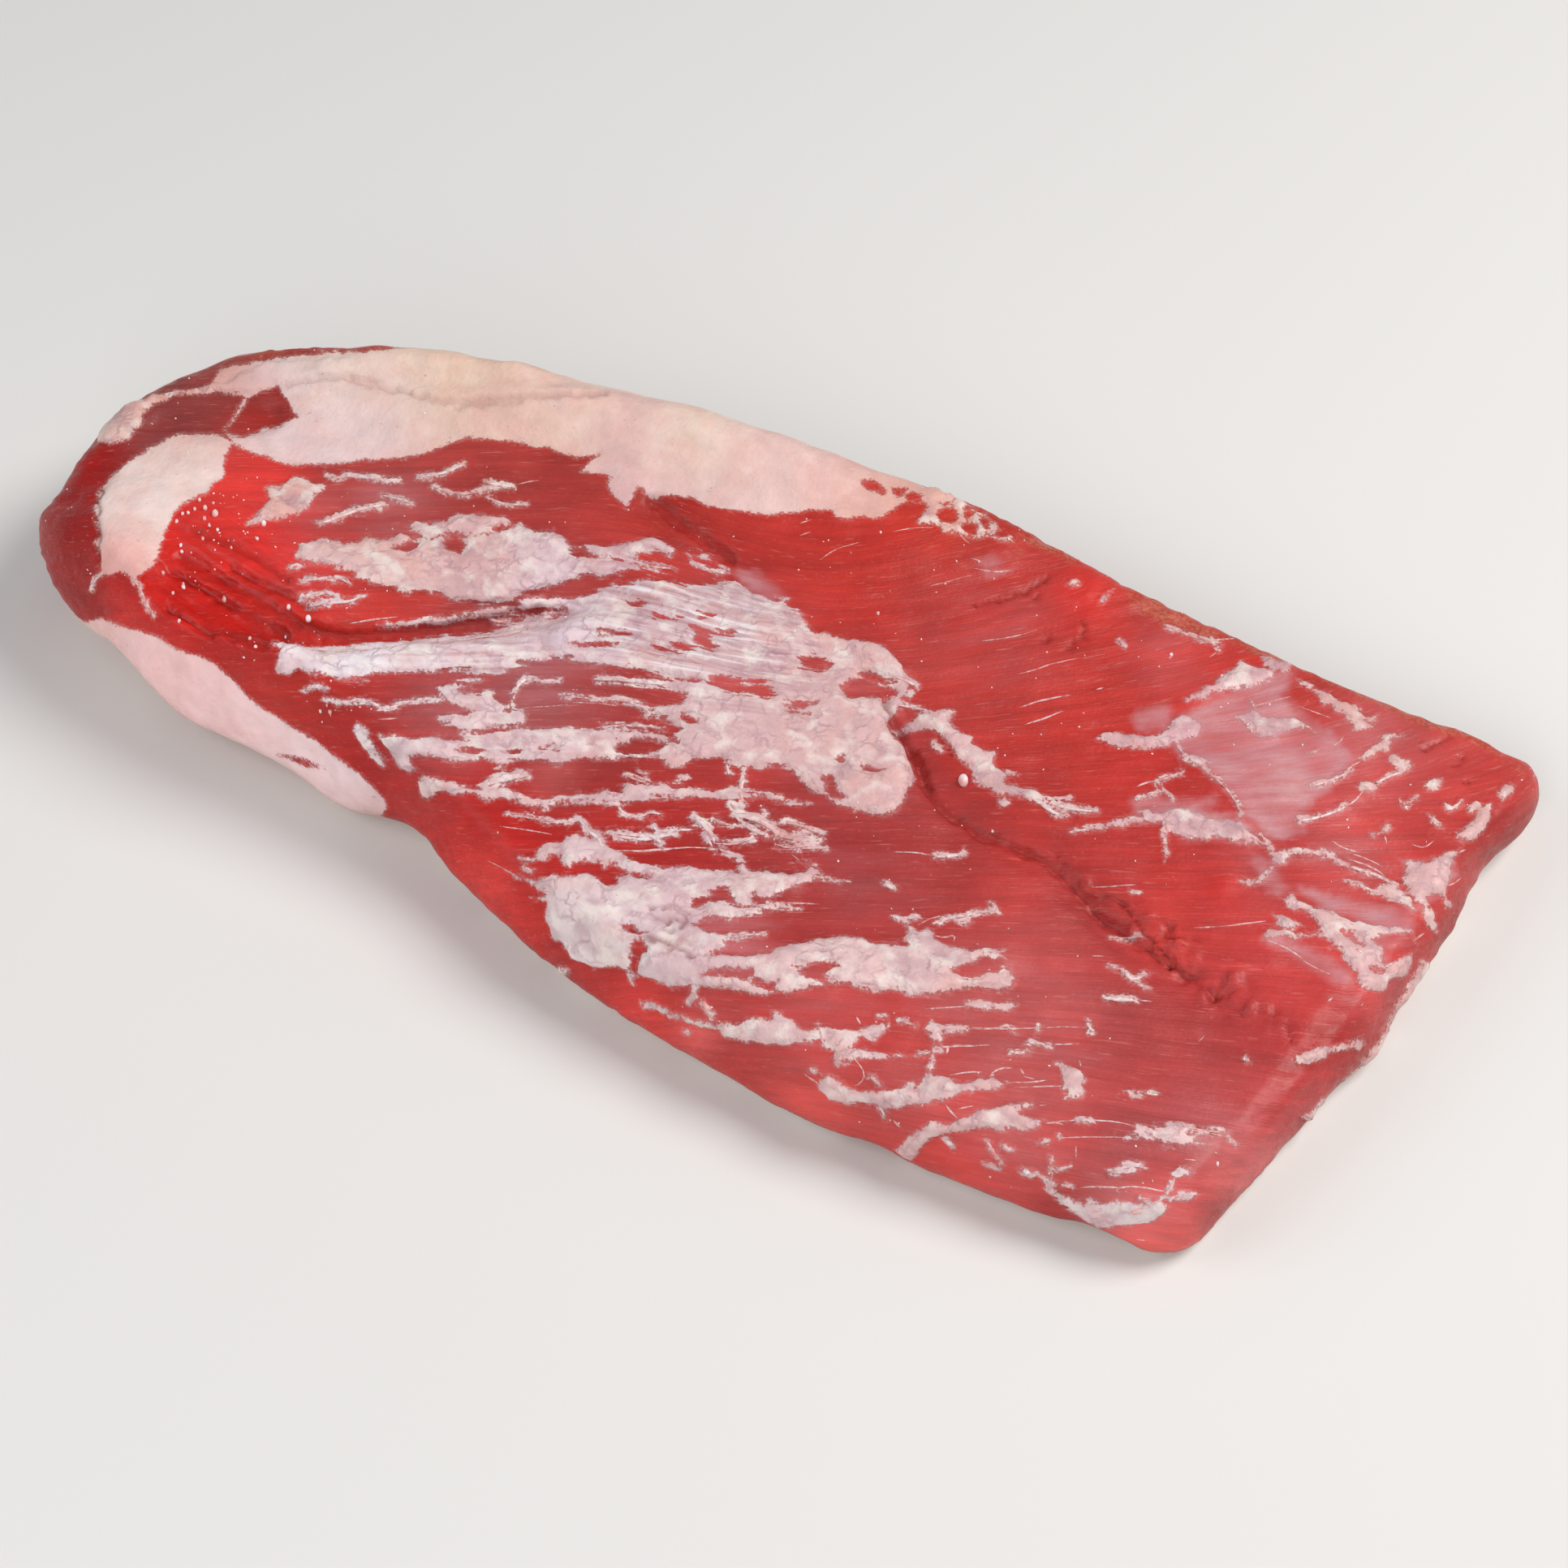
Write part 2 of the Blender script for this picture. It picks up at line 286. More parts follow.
# Meat that shows through holes in the fat.
BARE_SPOTS = (
    (1153, 640, 1160, 632, 1170, 629, 1178, 635, 1178, 645, 1168, 650, 1158, 648),
    (1185, 648, 1192, 642, 1202, 645, 1203, 655, 1195, 662, 1188, 656),
    (1155, 618, 1172, 616, 1176, 623, 1162, 627), (1183, 630, 1195, 625, 1202, 633, 1190, 640),
    (1206, 635, 1220, 640, 1218, 652, 1206, 648), (1226, 655, 1240, 652, 1245, 662, 1232, 668),
    (780, 1160, 790, 1160, 793, 1172, 786, 1196, 776, 1198, 780, 1180, 776, 1168),
    (480, 675, 495, 672, 505, 663, 516, 668, 510, 678, 495, 681),
    (545, 662, 560, 658, 572, 663, 575, 673, 565, 681, 550, 676),
    (604, 650, 614, 646, 625, 650, 618, 657, 606, 656),
    (640, 757, 665, 749, 700, 750, 706, 754, 680, 755, 660, 759, 640, 760),
    (735, 782, 750, 779, 775, 781, 762, 784, 740, 784),
    (700, 793, 730, 794, 765, 795, 760, 798, 720, 798),
    (768, 748, 785, 744, 797, 745, 792, 750),
    (805, 757, 825, 758, 840, 762, 828, 764, 810, 761),
    (855, 752, 870, 756, 882, 757, 878, 764, 862, 762),
    (852, 778, 865, 772, 885, 775, 902, 778, 903, 785, 890, 784, 872, 788, 884, 800, 880, 806, 868, 800,
     855, 790),
    (805, 795, 825, 794, 842, 793, 860, 795, 850, 800, 835, 806, 815, 802),
    (868, 838, 885, 833, 905, 840, 930, 843, 950, 848, 958, 856, 945, 862, 915, 856, 890, 850, 872, 843),
    (985, 812, 1000, 806, 1012, 812, 1025, 820, 1018, 826, 1000, 826, 988, 822),
    (962, 868, 980, 870, 998, 878, 1000, 885, 985, 880, 966, 874),
    (840, 878, 850, 885, 862, 892, 852, 893, 842, 886),
    (812, 848, 822, 846, 830, 852, 820, 853),
    (560, 922, 580, 921, 600, 927, 585, 930, 565, 928),
    (624, 926, 634, 920, 646, 922, 640, 929, 630, 930),
    (662, 920, 680, 921, 692, 926, 682, 927, 666, 924),
    (862, 1202, 872, 1196, 890, 1194, 915, 1192, 932, 1193, 928, 1203, 920, 1209, 905, 1206, 885, 1203),
    (930, 1206, 945, 1208, 960, 1207, 956, 1220, 940, 1218, 925, 1212),
    (976, 1193, 990, 1194, 1000, 1188, 1015, 1184, 1030, 1184, 1036, 1190, 1020, 1196, 1015, 1202, 1030,
     1208, 1015, 1211, 995, 1208, 985, 1200),
    (900, 1163, 920, 1157, 945, 1155, 960, 1158, 952, 1170, 930, 1172, 908, 1170),
    (1036, 846, 1050, 838, 1062, 836, 1075, 842, 1090, 844, 1108, 850, 1100, 860, 1080, 862, 1060, 860,
     1040, 858),
    (1055, 832, 1075, 830, 1090, 836, 1105, 842, 1085, 842, 1065, 840),
    (970, 862, 990, 862, 1008, 866, 1000, 872, 985, 872),
    (1030, 930, 1040, 928, 1042, 936, 1032, 938),
    (1055, 940, 1075, 945, 1090, 950, 1078, 952, 1062, 948),
    (1010, 955, 1025, 955, 1030, 965, 1032, 975, 1045, 985, 1030, 985, 1015, 975, 1018, 965),
    (768, 1142, 778, 1138, 790, 1145, 800, 1150, 790, 1154, 776, 1150),
    (1518, 856, 1530, 856, 1538, 866, 1536, 876, 1528, 880, 1515, 870),
    (1570, 1030, 1580, 1034, 1592, 1042, 1585, 1050, 1575, 1048, 1566, 1040),
    (1600, 1127, 1612, 1128, 1622, 1138, 1618, 1142, 1606, 1138),
    (1633, 1165, 1640, 1162, 1646, 1168, 1640, 1170),
    (1704, 1168, 1715, 1160, 1730, 1156, 1736, 1160, 1722, 1172, 1712, 1178),
    (1650, 1148, 1665, 1153, 1678, 1162, 1682, 1170, 1672, 1166, 1658, 1156),
    (1684, 1192, 1695, 1192, 1708, 1200, 1700, 1202),
    (1404, 884, 1420, 880, 1430, 884, 1420, 890, 1408, 894),
    (1404, 1391, 1420, 1393, 1432, 1396, 1428, 1402, 1412, 1399),
    (1062, 598, 1070, 592, 1080, 595, 1090, 603, 1088, 608, 1075, 606, 1066, 603),
    (1098, 602, 1115, 600, 1125, 604, 1110, 610, 1100, 608),
    (1114, 612, 1124, 607, 1136, 608, 1140, 613, 1130, 620, 1118, 618),
    (1152, 640, 1155, 631, 1165, 627, 1178, 630, 1182, 640, 1175, 650, 1160, 646),
    (1156, 620, 1165, 616, 1175, 618, 1168, 623),
    (1184, 646, 1195, 642, 1203, 650, 1200, 660, 1190, 662, 1185, 655),
    (1208, 652, 1215, 648, 1220, 656, 1212, 660), (1222, 660, 1232, 655, 1240, 662, 1232, 668),
    (788, 1158, 796, 1160, 797, 1172, 790, 1180, 786, 1195, 778, 1196, 776, 1186, 784, 1172),
)

# Strands of sinew and thin fat: the width, then the points along the strand.
STRANDS = (
    (4, 402, 586, 415, 590, 430, 585, 450, 588, 475, 592, 492, 592),
    (4, 515, 588, 530, 586, 545, 583, 560, 577, 572, 572),
    (4, 530, 598, 537, 600, 545, 605, 560, 608, 575, 608, 590, 606, 600, 603, 612, 600),
    (4, 470, 610, 485, 613, 500, 617, 507, 620),
    (5, 390, 645, 405, 642, 420, 636, 440, 628, 460, 624, 475, 622),
    (3, 163, 712, 172, 722, 178, 740, 190, 760), (3, 112, 728, 118, 712, 130, 705),
    (5, 600, 595, 615, 597, 632, 600), (2, 636, 597, 650, 594, 665, 592),
    (3, 600, 612, 615, 620, 632, 622, 648, 621), (4, 785, 695, 800, 698, 815, 699, 832, 701),
    (3, 845, 685, 855, 692, 870, 700, 882, 706), (4, 865, 681, 872, 686, 876, 682),
    (5, 887, 703, 892, 707), (2, 430, 768, 455, 764, 490, 760), (4, 603, 762, 615, 767, 628, 764),
    (3, 357, 700, 372, 697), (3, 372, 716, 395, 712, 420, 712, 432, 720),
    (4, 370, 738, 390, 733, 405, 730, 415, 735), (4, 378, 748, 400, 743, 430, 742, 445, 735),
    (4, 375, 850, 385, 845, 400, 848),
    (3, 400, 862, 425, 867, 445, 863, 460, 866, 475, 874, 485, 870, 500, 866, 520, 864, 540, 862),
    (2, 465, 886, 490, 885),
    (4, 690, 838, 675, 842, 660, 838, 650, 836, 640, 842, 635, 852, 632, 862, 631, 872),
    (3, 690, 859, 710, 859, 740, 862, 765, 862, 780, 866, 790, 872, 800, 880),
    (2, 705, 866, 735, 866, 760, 870), (5, 735, 838, 760, 837, 790, 840, 820, 843),
    (1.5, 640, 873, 670, 871, 700, 868), (3, 740, 895, 780, 893, 820, 897),
    (3, 757, 931, 790, 932, 815, 930), (4, 770, 955, 785, 961, 797, 964), (3, 785, 950, 797, 955),
    (3, 835, 962, 845, 956), (3, 895, 940, 898, 955), (5, 915, 950, 912, 975, 916, 990),
    (4, 745, 995, 762, 990, 766, 1003, 790, 1007, 800, 1000, 815, 1003),
    (3, 625, 1003, 650, 1007, 680, 1012, 700, 1014, 715, 1010),
    (6, 712, 1008, 720, 1015, 726, 1025, 738, 1032, 742, 1045),
    (5, 750, 1025, 775, 1028, 805, 1030, 815, 1040), (4, 803, 1015, 810, 1025, 830, 1022, 855, 1022),
    (6, 855, 1005, 862, 1012, 872, 1020, 878, 1030, 880, 1040),
    (9, 908, 1002, 935, 1010, 950, 1018, 960, 1028, 980, 1033, 1000, 1035),
    (4, 900, 990, 910, 1000), (4, 940, 999, 944, 1001), (5, 619, 953, 622, 956),
    (8, 595, 968, 612, 961, 632, 956, 650, 956), (3, 1105, 868, 1125, 872, 1145, 876),
    (5, 1130, 845, 1115, 838, 1100, 832), (4, 1118, 858, 1122, 852),
    (4, 1255, 975, 1275, 985, 1290, 995, 1300, 1003, 1315, 1006),
    (4, 1290, 985, 1310, 983, 1320, 982), (5, 1300, 992, 1330, 998, 1350, 1000),
    (3, 1320, 1024, 1340, 1022, 1355, 1018), (3, 1262, 980, 1272, 988),
    (2, 1256, 830, 1275, 825, 1295, 818, 1330, 810), (1.5, 1210, 790, 1250, 785, 1280, 775),
    (2, 1255, 872, 1285, 862, 1320, 856), (2, 1262, 893, 1285, 886, 1310, 876),
    (1.5, 1145, 722, 1170, 716, 1200, 708), (2, 1100, 655, 1125, 650, 1150, 650),
    (2, 1200, 700, 1225, 705, 1245, 703), (2, 1195, 688, 1205, 690, 1212, 694), (2, 1000, 640, 985, 645),
    (1.5, 1180, 655, 1188, 665, 1195, 670), (1.5, 1010, 690, 1030, 676, 1060, 668),
    (1.5, 985, 660, 1000, 655), (4, 1090, 1088, 1102, 1096), (2, 1030, 1084, 1050, 1087),
    (2, 1100, 1050, 1130, 1050, 1150, 1055, 1180, 1058),
    (4, 1150, 1055, 1175, 1055, 1190, 1050), (2, 1130, 1140, 1150, 1130, 1175, 1127),
    (4, 1155, 1137, 1170, 1130, 1190, 1128, 1210, 1124, 1225, 1122),
    (3, 1232, 1124, 1226, 1117, 1220, 1112), (3, 1180, 1138, 1195, 1136),
    (5, 1100, 1130, 1115, 1132, 1130, 1130),
    (2, 1150, 1152, 1165, 1156, 1178, 1150, 1175, 1160),
    (2, 1140, 1243, 1165, 1241, 1190, 1240), (4, 1108, 1258, 1118, 1260, 1128, 1263),
    (3, 1082, 1253, 1090, 1252), (2, 1200, 1268, 1215, 1268, 1240, 1265), (3, 1240, 1266, 1252, 1268),
    (3, 1278, 1270, 1280, 1264),
    (1.5, 1190, 1266, 1250, 1268, 1300, 1265, 1340, 1266),
    (4, 1340, 1260, 1346, 1272), (3, 1150, 1290, 1158, 1292), (2, 1150, 1290, 1180, 1289, 1220, 1288),
    (2.5, 1168, 1288, 1167, 1298), (4, 1265, 1284, 1285, 1286, 1292, 1290), (2, 1296, 1287, 1330, 1286),
    (4, 1245, 1297, 1270, 1296), (4, 1130, 1297, 1145, 1298), (4, 1028, 1286, 1034, 1285),
    (3, 1008, 1262, 1012, 1278, 1016, 1290), (2, 1055, 1252, 1060, 1262),
    (2.5, 755, 1048, 790, 1049, 820, 1046, 850, 1044, 880, 1045),
    (5, 760, 1030, 790, 1035, 810, 1030, 835, 1028), (4, 866, 1023, 873, 1035, 878, 1045),
    (4, 880, 1040, 905, 1040, 930, 1032), (4, 885, 1045, 900, 1053), (5, 905, 1005, 925, 1022, 945, 1030),
    (4, 955, 1040, 975, 1045, 1000, 1040), (1.5, 975, 1052, 985, 1060),
    (6, 965, 1012, 990, 1018, 1015, 1028), (5, 960, 1028, 985, 1036, 1010, 1035),
    (3, 985, 1045, 1020, 1045), (3, 880, 1010, 905, 1018), (5, 850, 1235, 855, 1225, 858, 1215),
    (6, 865, 1235, 875, 1245), (2, 940, 1114, 975, 1112, 1010, 1114), (3, 960, 1118, 985, 1120),
    (2, 910, 1130, 940, 1130), (3, 900, 1155, 925, 1152, 945, 1150), (3, 640, 1057, 655, 1060),
    (3, 645, 1068, 655, 1072), (4, 665, 1095, 680, 1098), (2, 600, 1060, 620, 1070, 640, 1082),
    (1.5, 620, 1000, 660, 1006), (1.5, 615, 1018, 645, 1022, 680, 1028), (3, 697, 1198, 690, 1195),
    (4, 776, 1202, 780, 1208), (3, 843, 1270, 848, 1275), (3, 863, 1236, 872, 1248, 880, 1258),
    (2, 990, 1322, 1000, 1330, 1010, 1336), (3, 1000, 1318, 1006, 1322),
    (1.5, 1050, 1300, 1058, 1310, 1066, 1325, 1060, 1335, 1052, 1338),
    (3, 1070, 1325, 1080, 1333, 1086, 1338), (3, 1083, 1362, 1088, 1370, 1091, 1378),
    (4, 1148, 1305, 1146, 1320), (3, 1128, 1298, 1148, 1298),
    (2, 1220, 1325, 1225, 1320, 1235, 1316, 1248, 1316),
    (2.5, 1218, 1326, 1226, 1324), (2.5, 1256, 1316, 1262, 1324), (2, 1170, 1325, 1195, 1320, 1210, 1321),
    (2.5, 1240, 1334, 1265, 1334, 1290, 1331), (2, 1250, 1340, 1280, 1339, 1310, 1338),
    (2, 1260, 1326, 1275, 1330), (2.5, 1330, 1305, 1332, 1314), (2, 1280, 1362, 1290, 1361),
    (2.5, 1288, 1384, 1300, 1382, 1310, 1386), (2, 1300, 1382, 1330, 1380),
    (4, 1328, 1380, 1345, 1381, 1345, 1386), (2, 1345, 1380, 1370, 1381, 1400, 1388),
    (3, 1450, 1386, 1480, 1393, 1510, 1396), (1.5, 1300, 1402, 1350, 1401, 1390, 1402),
    (3, 1304, 1400, 1306, 1405), (3, 1280, 1408, 1294, 1406), (4, 1236, 1410, 1242, 1418, 1248, 1414),
    (5, 1258, 1442, 1270, 1446), (3, 1275, 1445, 1290, 1452), (2.5, 1165, 1360, 1172, 1370, 1180, 1378),
    (2, 1180, 1366, 1200, 1362), (2.5, 1100, 1380, 1110, 1390), (6, 1165, 1405, 1175, 1412),
    (3, 1215, 1405, 1225, 1420, 1238, 1435), (3, 1210, 1432, 1230, 1440), (3, 1295, 1425, 1295, 1445),
    (2.5, 1326, 1412, 1326, 1430), (3, 1300, 1442, 1318, 1438), (3, 1310, 1460, 1322, 1464),
    (2.5, 1330, 1464, 1350, 1462, 1380, 1463), (2, 1350, 1460, 1358, 1465),
    (3, 1365, 1444, 1385, 1438, 1410, 1436), (3, 1368, 1445, 1400, 1444),
    (2.5, 1380, 1470, 1372, 1464, 1395, 1462, 1420, 1465, 1436, 1468),
    (3, 1448, 1450, 1442, 1465, 1432, 1478, 1415, 1487, 1400, 1490),
    (3, 1440, 1478, 1455, 1472), (3, 1406, 1476, 1415, 1477), (2, 1460, 1428, 1475, 1430),
    (3, 1515, 1403, 1524, 1410), (2, 1490, 1396, 1520, 1402), (6, 1345, 1495, 1360, 1490),
    (6, 1390, 1495, 1410, 1492), (2, 1400, 1527, 1412, 1528), (2, 1350, 850, 1360, 847),
    (3, 1378, 788, 1384, 795), (3, 1436, 772, 1480, 788, 1505, 792),
    (3, 1445, 908, 1458, 930, 1478, 942, 1492, 954, 1508, 968, 1518, 980, 1526, 994, 1528, 1006),
    (2.5, 1437, 1000, 1436, 1020, 1437, 1040, 1435, 1060),
    (1.5, 1345, 1093, 1370, 1092, 1400, 1090), (3, 1392, 1098, 1405, 1098),
    (3, 1365, 1154, 1385, 1157, 1408, 1153), (2, 1345, 1178, 1360, 1178), (3, 1365, 1190, 1385, 1195),
    (5, 1385, 1196, 1395, 1208, 1410, 1202), (3, 1400, 1212, 1415, 1218),
    (5, 1360, 1230, 1385, 1231, 1400, 1233), (2, 1400, 1232, 1420, 1234),
    (2.5, 1500, 1142, 1530, 1139, 1560, 1135), (1.5, 1470, 1143, 1500, 1142),
    (2.5, 1400, 970, 1410, 965, 1425, 962), (3, 1425, 963, 1440, 957, 1455, 952),
    (3, 1400, 985, 1415, 980, 1430, 976), (3, 1436, 975, 1444, 985), (3, 1490, 788, 1500, 800),
    (2, 1480, 790, 1530, 786), (2.5, 1445, 803, 1441, 812), (1.5, 1490, 810, 1500, 803),
    (3, 1610, 970, 1640, 962, 1665, 950), (4, 1600, 1012, 1630, 1006, 1650, 998, 1660, 993),
    (2.5, 1660, 993, 1668, 988, 1680, 975), (3, 1695, 965, 1715, 955, 1735, 948),
    (2.5, 1615, 928, 1625, 924), (2.5, 1640, 920, 1650, 915, 1656, 908), (3, 1612, 928, 1624, 925),
    (2, 1662, 945, 1676, 938), (3, 1735, 992, 1740, 985, 1746, 983), (3, 1731, 993, 1733, 995),
    (3, 1724, 985, 1727, 990), (3, 1780, 992, 1790, 996, 1800, 988), (3, 1690, 1027, 1696, 1028),
    (2, 1706, 1028, 1709, 1040), (2, 1640, 1035, 1655, 1045, 1675, 1050),
    (2, 1660, 1058, 1680, 1064, 1700, 1074, 1706, 1080),
    (1.5, 1665, 1052, 1690, 1060, 1706, 1070),
    (3, 1645, 1062, 1670, 1070, 1700, 1080, 1722, 1094),
    (3, 1660, 1085, 1668, 1090), (3, 1672, 1088, 1690, 1098, 1702, 1100), (2, 1788, 1058, 1792, 1066),
    (2, 1775, 1092, 1790, 1090, 1802, 1080), (2, 1795, 1052, 1806, 1046), (1.5, 1762, 1010, 1770, 1005),
    (2, 1740, 1040, 1755, 1046, 1768, 1035), (2, 1795, 1150, 1812, 1118),
    (2.5, 1742, 1160, 1748, 1155, 1755, 1150), (4, 1640, 1126, 1655, 1135, 1670, 1140),
    (2, 1600, 1180, 1625, 1195, 1650, 1205), (2, 1560, 1158, 1590, 1170, 1610, 1185),
    (3, 1665, 1165, 1680, 1175), (1.5, 1545, 870, 1560, 866, 1590, 858), (1.5, 1600, 870, 1640, 885),
    (3, 1600, 840, 1615, 846), (2, 1705, 1192, 1720, 1185), (2, 1636, 1234, 1642, 1230),
    (2, 1476, 1284, 1484, 1276), (3, 1534, 1305, 1538, 1308), (2, 1676, 1240, 1680, 1236),
)

# Thin open cracks in the meat: the width, then the points along the crack.
CRACKS = (
    (1.5, 800, 1120, 812, 1123, 825, 1121, 838, 1124, 846, 1130),
    (1.5, 850, 1135, 840, 1142, 828, 1152), (1.5, 795, 1160, 820, 1165, 850, 1180),
    (1.5, 770, 1077, 795, 1082), (2.5, 655, 755, 675, 751, 700, 752),
    (2.5, 126, 605, 121, 620, 119, 645, 122, 665, 119, 688),
    (2, 1090, 868, 1102, 885), (2, 1155, 905, 1172, 930), (2, 1105, 898, 1118, 915, 1128, 940),
    (3, 1262, 730, 1270, 722, 1278, 718), (3, 1284, 714, 1292, 710),
    (1.5, 1200, 745, 1225, 742, 1242, 738, 1258, 730), (2, 1276, 738, 1285, 730),
    (2, 1330, 765, 1338, 775, 1332, 782, 1338, 790), (2, 1285, 790, 1296, 786),
    (1.5, 1315, 798, 1330, 790),
    (2, 1385, 1115, 1395, 1130, 1410, 1150, 1430, 1170, 1440, 1180),
    (1.5, 1430, 1150, 1450, 1160), (1.5, 1440, 1185, 1470, 1205), (1.5, 1755, 925, 1768, 918, 1785, 910),
    (1.5, 1795, 943, 1803, 935), (1.5, 1805, 965, 1818, 958),
    (1.5, 770, 1145, 790, 1148, 805, 1158, 830, 1172), (1.5, 822, 1150, 825, 1135, 835, 1138, 845, 1128),
)

# Edges of the thin translucent membranes.
VEILS = (
    (1440, 905, 1462, 878, 1492, 862, 1530, 845, 1568, 826, 1600, 832, 1585, 858, 1612, 880, 1645, 900,
     1668, 930, 1650, 958, 1618, 985, 1606, 1026, 1566, 1036, 1540, 1012, 1524, 985, 1500, 960, 1470, 938,
     1446, 925),
    (1398, 985, 1420, 978, 1445, 985, 1470, 990, 1500, 982, 1500, 990, 1480, 998, 1500, 1003, 1525, 1008,
     1540, 1015, 1548, 1030, 1530, 1035, 1510, 1033, 1480, 1030, 1460, 1035, 1448, 1024, 1430, 1014, 1395,
     1012),
    (1600, 1090, 1650, 1105, 1700, 1115, 1740, 1120, 1735, 1150, 1700, 1145, 1660, 1135, 1620, 1120),
    (1545, 1050, 1570, 1060, 1590, 1095, 1575, 1105, 1555, 1085),
    (1730, 1060, 1745, 1062, 1765, 1062, 1788, 1052, 1790, 1065, 1785, 1085, 1778, 1098, 1765, 1105, 1752,
     1112, 1740, 1105, 1732, 1095, 1725, 1085, 1733, 1072),
    (905, 705, 925, 702, 940, 712, 960, 728, 972, 738, 945, 737, 925, 730, 908, 718),
    (1650, 1160, 1700, 1190, 1715, 1170, 1740, 1165, 1700, 1150, 1660, 1150),
    (1570, 1150, 1640, 1180, 1665, 1205, 1640, 1208, 1600, 1180, 1560, 1160),
    (1400, 872, 1440, 868, 1450, 880, 1440, 900, 1405, 900, 1395, 888),
    (1205, 690, 1222, 684, 1235, 692, 1220, 702, 1245, 704, 1230, 712, 1210, 708),
)

# Loose granules of fat: x, y and width of each.
CRUMBS = (
    1187, 962, 15, 1085, 656, 4, 1082, 756, 5, 1135, 788, 3, 1290, 804, 3, 1262, 666, 3, 1206, 692, 4,
    1238, 931, 3, 1223, 1024, 4, 1033, 1061, 3, 1023, 699, 2, 1048, 706, 2, 1000, 760, 2, 1443, 807, 5,
    1605, 918, 3, 1660, 1010, 3, 1732, 995, 4, 1420, 1455, 3, 1500, 1434, 5, 1533, 1305, 3, 253, 626, 7,
    265, 633, 10, 252, 639, 6, 232, 632, 5, 225, 633, 5, 325, 645, 8, 317, 664, 5, 218, 642, 5, 246, 616,
    5, 224, 680, 5, 223, 672, 5, 277, 738, 8, 356, 748, 7, 226, 723, 6, 213, 731, 5, 201, 706, 6, 285,
    675, 4, 250, 664, 5, 263, 620, 4, 380, 762, 9, 240, 627, 5, 268, 653, 5, 258, 648, 5, 221, 765, 5,
    352, 785, 4, 315, 797, 5, 308, 787, 5, 395, 876, 5, 407, 877, 6, 403, 869, 4,
)

# Edge of the ragged opening in the middle of the flat.
TORN_OPENING = (
    1293, 1045, 1330, 1060, 1345, 1085, 1370, 1105, 1400, 1110, 1425, 1125, 1455, 1140, 1480, 1160, 1478,
    1172, 1510, 1190, 1540, 1200, 1555, 1225, 1590, 1260, 1600, 1290, 1560, 1275, 1520, 1250, 1480, 1235,
    1450, 1215, 1430, 1190, 1400, 1165, 1370, 1140, 1345, 1110, 1310, 1075,
)

# The natural seam that runs down the flat.
SEAM_LINE = (
    1090, 868, 1103, 890, 1118, 915, 1132, 940, 1142, 968, 1156, 992, 1175, 1008, 1192, 1018, 1210, 1030,
    1235, 1038, 1255, 1048, 1280, 1058, 1300, 1072, 1318, 1090, 1335, 1108, 1352, 1128, 1380, 1148, 1410,
    1168, 1440, 1190, 1470, 1205, 1500, 1230,
)

# Crest where the top bends down to the cut end: the width, then the points along it.
END_CREST = (2, 1690, 1192, 1650, 1240, 1600, 1308, 1550, 1378, 1490, 1450)

# Red gaps in the fat roll towards its end, and in the fat of the near side.
FAT_HOLES = (
    (342, 930, 372, 934, 402, 946, 384, 947, 358, 938),
    (1058, 592, 1075, 590, 1090, 603, 1092, 610, 1080, 607, 1065, 602),
    (1098, 602, 1122, 603, 1118, 608, 1105, 612),
    (1115, 612, 1125, 607, 1138, 610, 1132, 620, 1118, 619),
)

# Edge of the browned lump at the end of the roll.
RAW_RIM = (
    1180, 620, 1200, 625, 1215, 635, 1235, 648, 1250, 655, 1258, 670, 1262, 685, 1258, 698, 1250, 695,
    1246, 680,
)

# The far side of the fat roll, outside the photograph's view of it.
ROLL_FAR_SIDE = (1250, 600, 1180, 560, 900, 420, 500, 330, 300, 400, 262, 470, 276, 530)

# Upper border of the fat cap on the near side of the thick end.
SIDE_FAT_BORDER = (
    125, 762, 160, 775, 175, 778, 195, 785, 215, 800, 240, 808, 262, 817, 280, 832, 290, 845, 305, 858,
    318, 868, 335, 880, 355, 893, 375, 905, 395, 918, 410, 930, 430, 945, 445, 955, 460, 970, 470, 982,
    478, 995)
SIDE_FAT_BELOW = (450, 1030, 300, 990, 120, 880, 90, 770)

# Zone of the deep red folds at the thick end, whose fibres run down to the right.
FOLD_ZONE = (
    205, 655, 240, 620, 300, 600, 345, 650, 400, 700, 425, 760, 400, 795, 330, 800, 250, 790, 185, 745,
    180, 700,
)

# Creases between the folds: the width, then the points along the crease.
FOLD_LINES = (
    (8, 225, 688, 260, 708, 300, 728, 335, 748, 365, 768, 400, 783, 450, 785, 520, 777, 590, 768, 660,
     754),
    (5, 262, 735, 300, 752, 330, 770, 352, 785), (5, 240, 655, 280, 668, 320, 690, 352, 712),
    (4, 210, 705, 240, 722, 270, 735), (9, 806, 618, 832, 640, 868, 664, 900, 688),
    (5, 250, 770, 290, 785, 325, 795), (4, 330, 720, 360, 738, 385, 752),
    (4, 285, 700, 320, 720, 350, 735), (3, 205, 750, 235, 765, 262, 782),
)

# Creases along the fat roll, laid out in the same way.
ROLL_LINES = (
    (3, 352, 474, 395, 468, 430, 466, 470, 474, 500, 484, 540, 492, 580, 494, 620, 491, 660, 487, 700,
     484, 745, 483),
    (2, 560, 500, 590, 497, 640, 494),
)

# Red band between the fat roll and the far edge of the thick end.
RED_BAND = (
    120, 520, 150, 496, 200, 474, 250, 458, 300, 447, 350, 440, 400, 436, 450, 432, 500, 428, 500, 400,
    400, 395, 300, 400, 200, 430, 120, 480,
)

